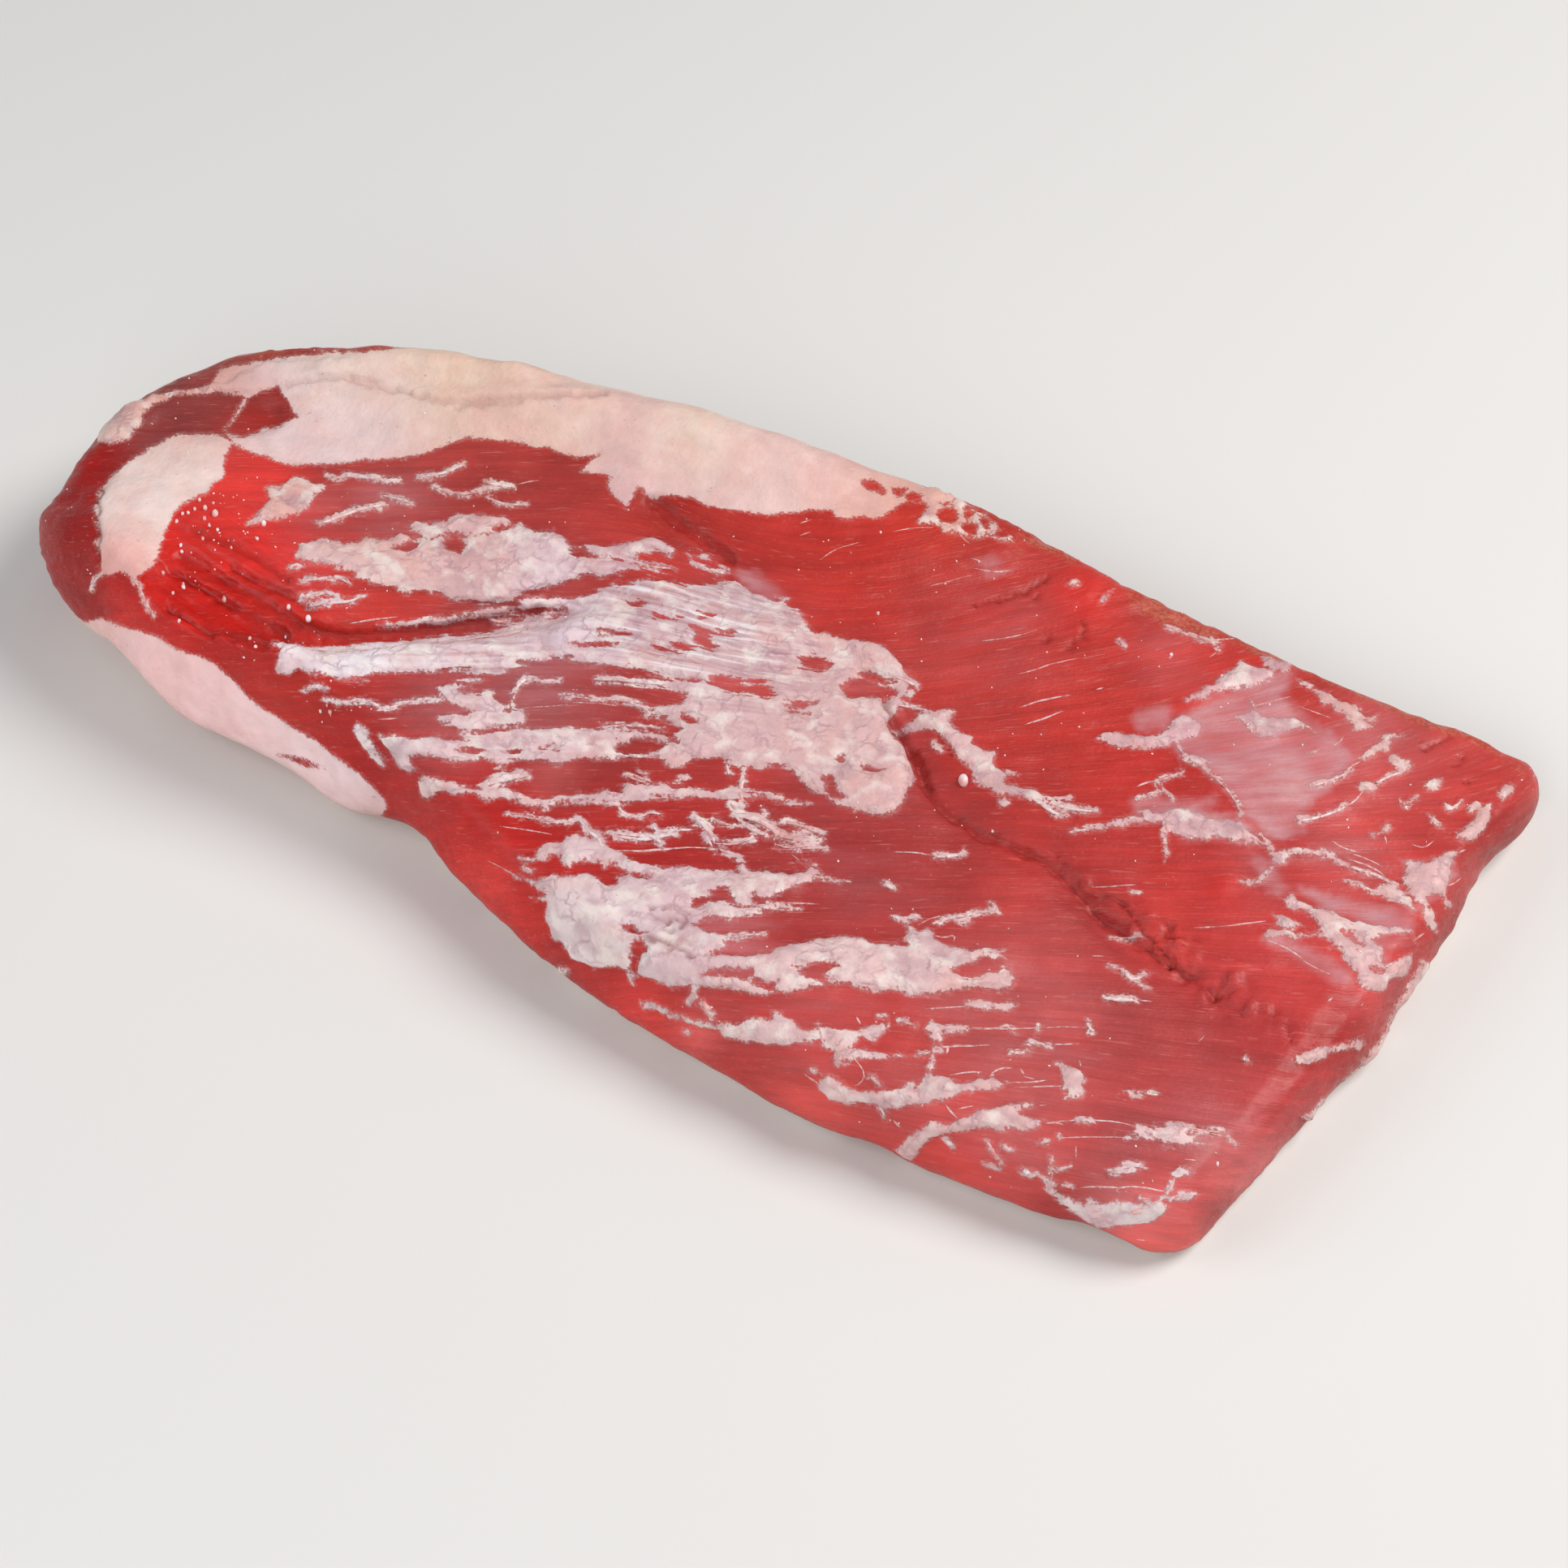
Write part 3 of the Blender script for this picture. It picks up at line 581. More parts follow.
# Dried rims: the width, then the points along the rim.
DRY_RIMS = (
    (12, 1180, 640, 1215, 640, 1262, 665, 1300, 680, 1340, 700, 1400, 735, 1450, 760, 1500, 778, 1545,
     798, 1600, 820, 1640, 835, 1700, 865, 1745, 885, 1800, 905, 1845, 925, 1885, 960),
    (9, 120, 560, 128, 530, 150, 500, 200, 478, 260, 455, 330, 435, 400, 428),
    (22, 1400, 742, 1440, 762, 1490, 782),
)

# Soft spots of thin bluish silverskin: x, y, spread in pixels, strength.
VEIL_SPOTS = (
    (1120, 1340, 50, 0.22), (1250, 1400, 60, 0.3), (1400, 1470, 60, 0.34), (1480, 1400, 50, 0.2),
    (660, 835, 55, 0.45), (480, 632, 38, 0.5), (560, 880, 45, 0.35), (900, 800, 50, 0.45),
    (900, 1160, 45, 0.5), (1040, 905, 60, 0.35), (1250, 1255, 85, 0.28), (1050, 1060, 90, 0.2),
    (1000, 1240, 60, 0.3), (1220, 790, 70, 0.2), (390, 655, 40, 0.35), (1450, 800, 40, 0.25),
    (1680, 930, 50, 0.35), (1650, 1050, 45, 0.3), (1560, 1060, 40, 0.2),
)

# Soft spots where a membrane is milky, laid out in the same way.
MILK_SPOTS = (
    (1585, 975, 28, 0.8), (1480, 880, 20, 0.35), (1570, 890, 20, 0.4), (1545, 1000, 20, 0.6),
    (1500, 1010, 30, 0.4), (1760, 1080, 18, 0.4),
)

# Soft spots of raised meat: x, y, radius in pixels, height in mm.
BUMPS = (
    (1510, 1090, 13, 2.0), (1340, 738, 24, 1.4), (1238, 672, 18, 1.6), (1215, 655, 12, 1.0),
    (1165, 645, 14, 1.0), (1030, 640, 12, 0.6),
)

# Soft spots where loose granules gather, laid out in the same way.
GRIT_SPOTS = (
    (265, 650, 42, 2.6), (225, 720, 35, 1.2), (330, 770, 40, 0.9), (415, 880, 25, 1.3),
    (1090, 700, 90, 0.25), (880, 1190, 60, 0.3),
)

# Soft spots where the fat is a thin torn sheet: x, y, spread in pixels, length of the tears in mm.
SHEET_SPOTS = (
    (830, 770, 80, 2.2), (930, 810, 60, 1.9), (990, 760, 40, 1.4), (460, 700, 50, 0.7),
    (600, 800, 60, 1.6), (560, 860, 50, 0.9), (650, 915, 80, 0.9), (880, 1000, 90, 1.0),
    (960, 1060, 60, 0.8), (1100, 1340, 120, 0.4), (1600, 900, 120, 0.4), (1650, 1130, 100, 0.5),
    (1400, 1390, 60, 1.2), (1250, 1240, 80, 0.8), (500, 810, 60, 1.2),
)

# Length of tears in mm at which a sheet is combed right along the fibres.
FULL_SHEET = 2.2

# Even grains: name, lumps per metre, detail.
GRAINS = (
    ("crumb", 900.0, 3.0), ("blotch", 45.0, 3.0), ("speck", 700.0, 2.0), ("dry", 330.0, 3.0),
    ("lump", 120.0, 3.0), ("patch", 70.0, 3.0), ("cloud", 130.0, 3.0), ("trace", 420.0, 3.0),
    ("grit", 600.0, 4.0),
)

# Grains drawn out along the fibres: name, the coordinates used, lumps per mm on each axis, detail.
FIBRE_GRAINS = (
    ("fibre", "fibre", (0.06, 1.5, 0.4), 3.0), ("fold", "fold_fibre", (0.05, 0.7, 0.3), 3.0),
    ("dash", "fibre", (0.10, 1.1, 0.4), 2.0), ("bundle", "fibre", (0.018, 0.30, 0.1), 2.0),
    ("tear", "fibre", (0.07, 0.42, 0.25), 4.0), ("line", "fibre", (0.03, 0.45, 0.15), 3.0),
)

# How far the fibres lean from the level across the view, by the distance behind the view's middle.
FIBRE_PLACES_MM = (-140.0, -60.0, 0.0, 80.0)
FIBRE_SLOPES = (-0.2, 0.0, 0.0, 0.0)
FAR_FLAT_SLOPE = 0.34
FIBRE_MIDDLE_MM = 110.0
FOLD_SLOPE = -0.9

# Small shifts of the outline: x, y and spread in pixels, then the shift to the right and up in mm.
NUDGES = (
    (58, 588, 34, 5.0, -6.5), (105, 545, 26, 1.5, -2.5), (150, 800, 26, 0.0, 3.0),
    (350, 425, 45, 0.0, -2.6), (430, 422, 40, 0.0, -2.2), (510, 424, 35, 0.0, -1.6),
    (860, 505, 75, 0.0, 2.8), (1050, 568, 30, 0.0, -1.0), (1270, 652, 55, 0.0, -2.6),
    (1400, 720, 65, 0.0, -3.0), (1530, 785, 60, 0.0, -2.4), (1650, 830, 60, 0.0, -3.0),
    (1770, 880, 60, 0.0, -3.8), (1870, 930, 45, -1.0, -3.0), (1840, 1080, 40, -3.0, 3.0),
    (1690, 1290, 34, 2.0, -3.0), (1480, 1520, 34, 0.5, -2.5), (1350, 1520, 34, 0.0, 3.0),
    (240, 880, 40, -3.0, -2.0), (430, 965, 34, -1.0, -4.0), (510, 1035, 34, 2.0, 4.0),
    (1080, 1410, 34, 0.0, 2.6),
)

# How far a loop's distance is worked out, in pixels.
LOOP_REACH = 30.0

# Width of the thin fat beside a strand, as a share of the strand's own width.
STRAND_SPREAD = 1.3

# How much wider a named granule is made, because its uneven scale narrows it.
GRANULE_SWELL = 1.3

# Strands from this width in pixels have thin fat beside them.
BROAD_STRAND = 3.0

# Broad colours of the meat: x, y and spread in pixels, then the colour.
LEAN_COLOURS = (
    (680, 960, 20, "#B25856"), (860, 1270, 18, "#E86462"), (1250, 1080, 30, "#C63C36"),
    (1300, 1492, 20, "#A62622"), (1500, 1500, 18, "#8C1C18"), (1530, 1440, 26, "#D46462"),
    (1720, 1237, 14, "#861210"), (1850, 1045, 26, "#8A1412"), (650, 1125, 28, "#D42820"),
    (560, 1040, 28, "#CC1C14"), (800, 1255, 28, "#D83A34"), (1000, 1362, 34, "#E85650"),
    (1430, 1525, 40, "#E85C56"), (1440, 1165, 28, "#DE443C"), (80, 700, 40, "#940402"),
    (90, 600, 40, "#9C0804"), (1800, 1150, 30, "#8E0C08"), (1735, 1245, 20, "#8E0C08"),
    (1690, 1292, 16, "#9C1812"), (835, 640, 24, "#8E1A12"), (910, 695, 34, "#901610"),
    (1170, 640, 34, "#B8301E"), (1340, 738, 22, "#DC2A22"), (1510, 1090, 16, "#DC322A"),
    (225, 512, 40, "#8C3A38"), (330, 505, 30, "#982721"), (290, 620, 45, "#DC3C36"),
    (320, 700, 55, "#E0221A"), (230, 720, 55, "#CB1C14"), (300, 765, 40, "#A80C06"),
    (330, 850, 45, "#B6261E"), (450, 950, 45, "#B01610"), (480, 625, 60, "#A83A36"),
    (430, 740, 50, "#C6322A"), (700, 850, 90, "#9C3432"), (560, 880, 60, "#A43432"),
    (600, 1010, 60, "#B41A14"), (600, 1080, 24, "#F04038"), (900, 760, 80, "#BC3A34"),
    (1000, 690, 90, "#B82C24"), (1200, 760, 110, "#B4281F"), (1400, 830, 90, "#BC3029"),
    (1000, 900, 80, "#B03632"), (760, 1110, 80, "#AE2622"), (1040, 1060, 90, "#8E1614"),
    (1000, 1240, 110, "#B9332E"), (1250, 1130, 110, "#AC322F"), (1250, 1270, 100, "#B84946"),
    (1190, 1450, 60, "#DC3C34"), (1460, 1080, 90, "#B6302C"), (1450, 1300, 90, "#A83C3D"),
    (1600, 1200, 90, "#C03C3A"), (1690, 1226, 24, "#D45C5C"), (1740, 1060, 80, "#C03C38"),
    (1684, 1288, 40, "#941410"),
)

# Broad colours of the fat, laid out in the same way.
FAT_COLOURS = (
    (700, 790, 30, "#E8DAE4"), (760, 680, 30, "#CA989C"), (1470, 900, 24, "#C8909A"),
    (360, 612, 24, "#E0A294"), (560, 445, 50, "#E9D2B4"), (420, 445, 40, "#E6CDBA"),
    (700, 500, 40, "#EAD4C4"), (850, 530, 40, "#ECD8C2"), (190, 600, 60, "#EDD8D2"),
    (150, 695, 30, "#E49A92"), (230, 830, 60, "#F8CAC8"), (330, 900, 60, "#F8D2D3"),
    (220, 470, 60, "#D19285"), (420, 510, 80, "#E2C9CB"), (600, 470, 80, "#DEB8AB"),
    (650, 520, 60, "#D8AA9F"), (800, 560, 70, "#D0A5A6"), (960, 590, 60, "#E0BEB9"),
    (1080, 610, 50, "#DAA69B"), (480, 680, 60, "#DCA8A0"), (600, 498, 12, "#CE9C96"),
    (690, 489, 12, "#CB9494"), (450, 480, 14, "#D8AEA6"), (660, 790, 90, "#D8C2CA"),
    (430, 812, 60, "#EEEAF2"), (840, 790, 70, "#CDB4BA"), (560, 645, 24, "#CBA3A8"),
    (590, 708, 36, "#DEAAA2"), (1100, 970, 40, "#DEB0AC"), (700, 960, 120, "#DEBABB"),
    (860, 900, 90, "#D8B0B0"), (1010, 920, 60, "#CDA8AA"), (730, 1160, 60, "#ECE2E0"),
    (800, 1080, 70, "#D9BEC6"), (830, 1130, 50, "#CEABB2"), (1050, 1190, 80, "#E0C0C2"),
    (1100, 980, 120, "#DCB4B3"), (1000, 1250, 120, "#DEBAB9"), (1250, 1380, 130, "#DCB2B1"),
    (1400, 1500, 60, "#E0CAD1"), (1500, 900, 100, "#D8AAAD"), (1650, 1150, 120, "#DAAEAD"),
    (1700, 900, 80, "#D8A8A3"),
)
HIDDEN_LEAN = "#A8352F"
HIDDEN_FAT = "#E8CDBF"
PINK_FAT = "#DCAA9F"


def linear(colour):
    """Turn an sRGB colour such as "#C04040" into linear red, green and blue."""
    channels = [int(colour[i:i + 2], 16) / 255 for i in (1, 3, 5)]
    return tuple(c / 12.92 if c <= 0.04045 else ((c + 0.055) / 1.055) ** 2.4 for c in channels)


def smooth_step(low, high, values):
    """Rise smoothly from 0 at low to 1 at high."""
    part = np.clip((values - low) / (high - low), 0.0, 1.0)
    return part * part * (3.0 - 2.0 * part)


def lattice(corner, seed):
    """A fixed random number from 0 to 1 for each whole-numbered corner of a lattice."""
    mixed = np.sin(corner @ np.array((127.1, 311.7, 74.7)) + seed * 53.3) * 43758.5453
    return mixed - np.floor(mixed)


def noise(places, size, seed=0):
    """Smooth noise from -1 to 1 with lumps of the given size (one size, or one for each axis)."""
    scaled = places / np.asarray(size, float)
    corner = np.floor(scaled)
    part = scaled - corner
    part = part * part * (3.0 - 2.0 * part)
    total = np.zeros(len(places))
    for dx in (0, 1):
        for dy in (0, 1):
            for dz in (0, 1):
                weight = (np.where(dx, part[:, 0], 1 - part[:, 0])
                          * np.where(dy, part[:, 1], 1 - part[:, 1])
                          * np.where(dz, part[:, 2], 1 - part[:, 2]))
                total += weight * lattice(corner + np.array((dx, dy, dz)), seed)
    return total * 2.0 - 1.0


def photo_place(points):
    """Where points of the scene stand in the photograph, in pixels."""
    offset = points - CAMERA_PLACE
    scale = CAMERA_DISTANCE / VIEW_HALF_WIDTH * PHOTO_HALF / (offset @ FORWARD)
    return np.stack((PHOTO_HALF + offset @ RIGHTWARD * scale, PHOTO_HALF - offset @ UPWARD * scale), 1)


def photo_ray(place):
    """Direction from the camera through a pixel of the photograph."""
    scale = VIEW_HALF_WIDTH / CAMERA_DISTANCE / PHOTO_HALF
    ray = FORWARD + RIGHTWARD * (place[0] - PHOTO_HALF) * scale - UPWARD * (place[1] - PHOTO_HALF) * scale
    return Vector(ray).normalized()


def chain_distance(places, chain):
    """Distance of each place to a chain of points."""
    best = np.full(len(places), 1e9)
    for start, end in zip(chain[:-1], chain[1:]):
        step = end - start
        along = np.clip((places - start) @ step / max(step @ step, 1e-9), 0.0, 1.0)
        gap = places - start - along[:, None] * step
        best = np.minimum(best, np.hypot(gap[:, 0], gap[:, 1]))
    return best


def inside_loop(places, loop):
    """Whether each place lies inside a closed loop."""
    inside = np.zeros(len(places), bool)
    for (x0, y0), (x1, y1) in zip(loop, np.roll(loop, -1, axis=0)):
        if y0 != y1:
            crosses = (y0 > places[:, 1]) != (y1 > places[:, 1])
            inside ^= crosses & (places[:, 0] < x0 + (places[:, 1] - y0) / (y1 - y0) * (x1 - x0))
    return inside


def near_places(places, chain, reach):
    """Which places lie within reach of a chain's box."""
    return np.all((places > chain.min(0) - reach) & (places < chain.max(0) + reach), axis=1)


def loop_depth(places, loop, reach=LOOP_REACH):
    """Depth of each place inside a loop in pixels, negative outside it."""
    loop = np.reshape(loop, (-1, 2)).astype(float)
    depth = np.full(len(places), -reach)
    near = near_places(places, loop, reach)
    gap = chain_distance(places[near], np.vstack((loop, loop[:1])))
    depth[near] = np.where(inside_loop(places[near], loop), gap, -gap)
    return np.maximum(depth, -reach)


def line_depth(places, row, reach=LOOP_REACH):
    """Depth of each place inside a line whose row gives its width and then its points."""
    chain = np.reshape(row[1:], (-1, 2)).astype(float)
    depth = np.full(len(places), -reach)
    near = near_places(places, chain, reach)
    depth[near] = row[0] / 2 - chain_distance(places[near], chain)
    return np.maximum(depth, -reach)


def deepest(places, rows, measure):
    """The greatest depth of each place over several loops or lines."""
    depth = np.full(len(places), -LOOP_REACH)
    for row in rows:
        depth = np.maximum(depth, measure(places, row))
    return depth


def spot(places, x, y, spread):
    """Strength from 1 to 0 of a soft round spot at each place."""
    return np.exp(-((places[:, 0] - x) ** 2 + (places[:, 1] - y) ** 2) / (2.0 * spread ** 2))


def blended(places, rows, rest):
    """Blend soft spots of colour at the places, over the colour of the rest."""
    total = np.full((len(places), 1), 0.02)
    colour = total * np.array(linear(rest))
    for x, y, spread, value in rows:
        weight = spot(places, x, y, spread)[:, None]
        colour = colour + weight * np.array(linear(value))
        total = total + weight
    return colour / total


# Kinds and settings of the nodes that are used often.
REMAP = "ShaderNodeMapRange"
MIX = "ShaderNodeMix"
MATHS = "ShaderNodeMath"
VECTOR_MATHS = "ShaderNodeVectorMath"
NOISE = "ShaderNodeTexNoise"
STORED = "ShaderNodeAttribute"
TURN = "ShaderNodeHueSaturation"
COLOURS = {"data_type": "RGBA"}
TIMES = {"operation": "MULTIPLY"}
PLUS = {"operation": "ADD"}


def new_material(name, values):
    """A material with its node tree and its shader, with plain values set on the shader."""
    material = bpy.data.materials.new(name)
    material.use_nodes = True
    shader = material.node_tree.nodes["Principled BSDF"]
    for key, value in values.items():
        shader.inputs[key].default_value = value
    return material, material.node_tree, shader


def add(tree, kind, inputs=(), settings=None, out=0):
    """Add a node with its settings and its inputs, given as values or sockets, and return one output."""
    made = tree.nodes.new(kind)
    for key, value in (settings or {}).items():
        setattr(made, key, value)
    given = inputs.items() if isinstance(inputs, dict) else enumerate(inputs)
    for key, value in given:
        if isinstance(value, bpy.types.NodeSocket):
            tree.links.new(value, made.inputs[key])
        elif value is not None:
            made.inputs[key].default_value = value
    return made.outputs[out]


def mesh_object(name, mesh):
    """Put a mesh into the scene as an object at the origin."""
    made = bpy.data.objects.new(name, mesh)
    bpy.context.scene.collection.objects.link(made)
    return made


def apply_modifiers(thing):
    """Turn an object's modifiers into plain mesh."""
    graph = bpy.context.evaluated_depsgraph_get()
    mesh = bpy.data.meshes.new_from_object(thing.evaluated_get(graph))
    thing.modifiers.clear()
    thing.data = mesh


def points_of(mesh):
    """A mesh's vertices as an array."""
    flat = np.empty(len(mesh.vertices) * 3)
    mesh.vertices.foreach_get("co", flat)
    return flat.reshape(-1, 3)


def normals_of(mesh):
    """A mesh's vertex normals as an array."""
    flat = np.empty(len(mesh.vertices) * 3)
    mesh.vertex_normals.foreach_get("vector", flat)
    return flat.reshape(-1, 3)


def move_points(mesh, points):
    """Write new places for a mesh's vertices."""
    mesh.vertices.foreach_set("co", np.ascontiguousarray(points, dtype=float).ravel())
    mesh.update()


def store(mesh, name, values):
    """Keep a number or a colour for every vertex."""
    values = np.asarray(values, float)
    if values.ndim == 1:
        layer = mesh.attributes.new(name, "FLOAT", "POINT")
        layer.data.foreach_set("value", values)
    else:
        layer = mesh.attributes.new(name, "FLOAT_COLOR", "POINT")
        layer.data.foreach_set("color", np.hstack((values, np.ones((len(values), 1)))).ravel())


def solid_tree(name, swell=0.0):
    """A copy of a CAD solid with its vertices merged, and a search tree over it."""
    shape = bmesh.new()
    shape.from_mesh(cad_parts[name].data)
    bmesh.ops.remove_doubles(shape, verts=shape.verts, dist=0.01 * MM)
    bmesh.ops.recalc_face_normals(shape, faces=shape.faces)
    tree = BVHTree.FromBMesh(shape)
    for vertex in shape.verts:
        vertex.co = vertex.co + vertex.normal * swell
    return shape, tree


def nearest_distance(tree, points):
    """Distance of each point to a search tree's surface."""
    return np.array([tree.find_nearest(Vector(point))[3] for point in points])


# How far off the skin the look back to the camera starts.
CLEARANCE = 1.2 * MM


def seen_from_camera(mesh, points, normals):
    """1 where a vertex shows in the photograph and 0 elsewhere, and how squarely it faces the camera."""
    toward = CAMERA_PLACE - points
    toward /= np.linalg.norm(toward, axis=1)[:, None]
    facing = np.sum(toward * normals, axis=1)
    clear = smooth_step(0.02, 0.16, facing)
    tree = BVHTree.FromPolygons([tuple(p) for p in points], [tuple(f.vertices) for f in mesh.polygons])
    for index in np.nonzero(clear > 0)[0]:
        start = points[index] + normals[index] * CLEARANCE
        if tree.ray_cast(Vector(start), Vector(toward[index]))[0] is not None:
            clear[index] = 0.0
    return clear, facing


def length(name, description, default, low, high):
    """A setting that is a length in metres."""
    return bpy.props.FloatProperty(name=name, description=description, default=default, min=low, max=high,
                                   subtype="DISTANCE", unit="LENGTH")


def hue(name, description, default):
    """A setting that is a colour."""
    return bpy.props.FloatVectorProperty(name=name, description=description, default=linear(default), size=3,
                                         min=0.0, max=1.0, subtype="COLOR")


class BrisketSettings(bpy.types.PropertyGroup):
    """Sizes and colours of the brisket's looks."""

    grid: length("Grid", "Spacing of the skin's points", 1.6 * MM, 1.0 * MM, 10.0 * MM)
    smoothing: bpy.props.IntProperty(
        name="Smoothing", description="How often the skin is smoothed over the solids' facets",
        default=36, min=0, max=80)
    overlap: length("Overlap", "How far each solid's copy swells so that the two join",
                    0.35 * MM, 0.0, 2.0 * MM)
    underside_share: bpy.props.FloatProperty(
        name="Underside share", description="Share of the hidden underside's faces that is kept",
        default=0.08, min=0.02, max=1.0, subtype="FACTOR")
    fat_rise: length("Fat rise", "Height of the surface fat above the meat", 1.5 * MM, 0.0, 4.0 * MM)
    fibre_rise: length("Fibre rise", "Height of the coarse meat fibres", 0.4 * MM, 0.0, 2.0 * MM)
    crack_depth: length("Crack depth", "Depth of the thin cracks in the meat", 1.0 * MM, 0.0, 5.0 * MM)
    strand_rise: length("Strand rise", "Height of the sinew above the skin", 0.2 * MM, 0.05 * MM, 2.0 * MM)
    strand_step: length("Strand step", "Spacing of a strand's points", 1.6 * MM, 0.5 * MM, 10.0 * MM)
    granules: bpy.props.IntProperty(
        name="Granules", description="Number of the smallest loose granules of fat",
        default=260, min=0, max=3000)
    granule_width: length("Granule width", "Width of the smallest granules", 0.9 * MM, 0.2 * MM, 5.0 * MM)
    veil_colour: hue("Membrane", "Colour of the thin membranes", "#C28A90")
    sinew_colour: hue("Sinew", "Colour of the strands of sinew", "#E6D3D4")
    rim_colour: hue("Dried rim", "Colour of the browned dry rim", "#A84232")


def joined_skin(settings):
    """One closed mesh round the copies of both solids, with a search tree for each solid."""
    lean, lean_tree = solid_tree("lean", settings.overlap)
    fat, fat_tree = solid_tree("fat_cap", settings.overlap)
    mesh = bpy.data.meshes.new("skin")
    fat.to_mesh(mesh)
    lean.from_mesh(mesh)
    lean.to_mesh(mesh)
    lean.free()
    fat.free()
    skin = mesh_object("brisket_skin", mesh)
    remesh = skin.modifiers.new("Join", "REMESH")
    remesh.mode = "VOXEL"
    remesh.voxel_size = settings.grid
    remesh.use_smooth_shade = True
    smooth = skin.modifiers.new("Smooth", "SMOOTH")
    smooth.factor = 0.5
    smooth.iterations = settings.smoothing
    apply_modifiers(skin)
    drop_loose_shells(skin.data)
    return skin, lean_tree, fat_tree


def drop_loose_shells(mesh):
    """Keep only the largest connected shell of a mesh."""
    shape = bmesh.new()
    shape.from_mesh(mesh)
    shape.verts.ensure_lookup_table()
    shell = np.full(len(shape.verts), -1)
    sizes = []
    for first in shape.verts:
        if shell[first.index] >= 0:
            continue
        shell[first.index] = len(sizes)
        front = [first]
        count = 0
        while front:
            vertex = front.pop()
            count += 1
            for edge in vertex.link_edges:
                other = edge.other_vert(vertex)
                if shell[other.index] < 0:
                    shell[other.index] = len(sizes)
                    front.append(other)
        sizes.append(count)
    keep = int(np.argmax(sizes))
    lost = [v for v in shape.verts if shell[v.index] != keep]
    if lost:
        bmesh.ops.delete(shape, geom=lost, context="VERTS")
        shape.to_mesh(mesh)
    shape.free()


def thin_underside(skin, share):
    """Give the flat hidden underside fewer faces."""
    low = (normals_of(skin.data)[:, 2] < -0.75).astype(float)
    group = skin.vertex_groups.new(name="underside")
    for index in np.nonzero(low)[0]:
        group.add([int(index)], 1.0, "REPLACE")
    thin = skin.modifiers.new("Thin", "DECIMATE")
    thin.ratio = 1.0 - (1.0 - share) * float(low.mean())
    thin.vertex_group = group.name
    thin.vertex_group_factor = 1000.0
    apply_modifiers(skin)
    skin.vertex_groups.clear()


def fat_depth(places):
    """Depth inside the surface fat that the photograph shows, in pixels."""
    wobble = np.stack((noise(pad(places), 9.0, 1), noise(pad(places), 9.0, 2)), 1) * 2.6
    wobble += np.stack((noise(pad(places), 3.6, 3), noise(pad(places), 3.6, 4)), 1) * 1.1
    rough = places + wobble
    bare = deepest(rough, (DARK_WINDOW, DARK_FACET, RED_BAND) + FAT_HOLES, loop_depth)
    roll = np.minimum(loop_depth(places + wobble * 0.5, ROLL_BORDER + ROLL_FAR_SIDE), -bare)
    side = np.minimum(loop_depth(places + wobble * 0.5, SIDE_FAT_BORDER + SIDE_FAT_BELOW), -bare)
    cream = loop_depth(places + wobble * 0.6, CREAM_CRESCENT)
    patches = deepest(rough, FAT_PATCHES, loop_depth)
    patches = np.minimum(patches, -deepest(rough, BARE_SPOTS, loop_depth))
    broad = np.maximum(np.maximum(roll, side), cream)
    thin = [(row[0] * STRAND_SPREAD + 1.5,) + row[1:] for row in STRANDS if row[0] >= BROAD_STRAND]
    patches = np.maximum(patches, deepest(rough, thin, line_depth))
    return broad, patches


def soft_spots(places, rows):
    """The greatest strength of several soft round spots at each place."""
    total = np.zeros(len(places))
    for x, y, spread, strength in rows:
        total = np.maximum(total, spot(places, x, y, spread) * strength)
    return total


def pad(places):
    """Give flat places a third coordinate of nought."""
    return np.hstack((places, np.zeros((len(places), 1))))


def nudged(points):
    """Shift the outline's points a little across the view, as the photograph shows it."""
    places = photo_place(points)
    moved = points.copy()
    for x, y, spread, right, up in NUDGES:
        moved += spot(places, x, y, spread)[:, None] * (RIGHTWARD * right + UPWARD * up) * MM
    low, high = cad_box()
    return np.clip(moved, low, high)


def fibre_places(points, slope):
    """Coordinates along, across and through the meat's fibres, in mm, for a slope across the view."""
    local = (points - CAMERA_TARGET) / MM
    along = local[:, 0] * math.cos(AZIMUTH) + local[:, 1] * math.sin(AZIMUTH)
    across = local[:, 1] * math.cos(AZIMUTH) - local[:, 0] * math.sin(AZIMUTH)
    if slope is None:
        lean_over = np.interp(across, FIBRE_PLACES_MM, FIBRE_SLOPES)
        lean_over += FAR_FLAT_SLOPE * smooth_step(-40.0, 80.0, across) * smooth_step(-70.0, 50.0, along)
    else:
        lean_over = slope
    past = along - FIBRE_MIDDLE_MM
    return np.stack((along + across * lean_over, across - past * lean_over + local[:, 2] * 0.9,
                     local[:, 2]), 1)


def blend(first, second, share):
    """Mix two linear colours, with one share of the second for each point."""
    return np.array(first) * (1.0 - share[:, None]) + np.array(second) * share[:, None]


# Depths and heights of the relief in mm.
SEAM_DEPTH = 2.0
CREASE_DEPTH = 2.2
ROLL_CREASE_DEPTH = 1.5
CREST_CUT = 0.8
TORN_HEIGHT = 3.2
RIM_HEIGHT = 0.9


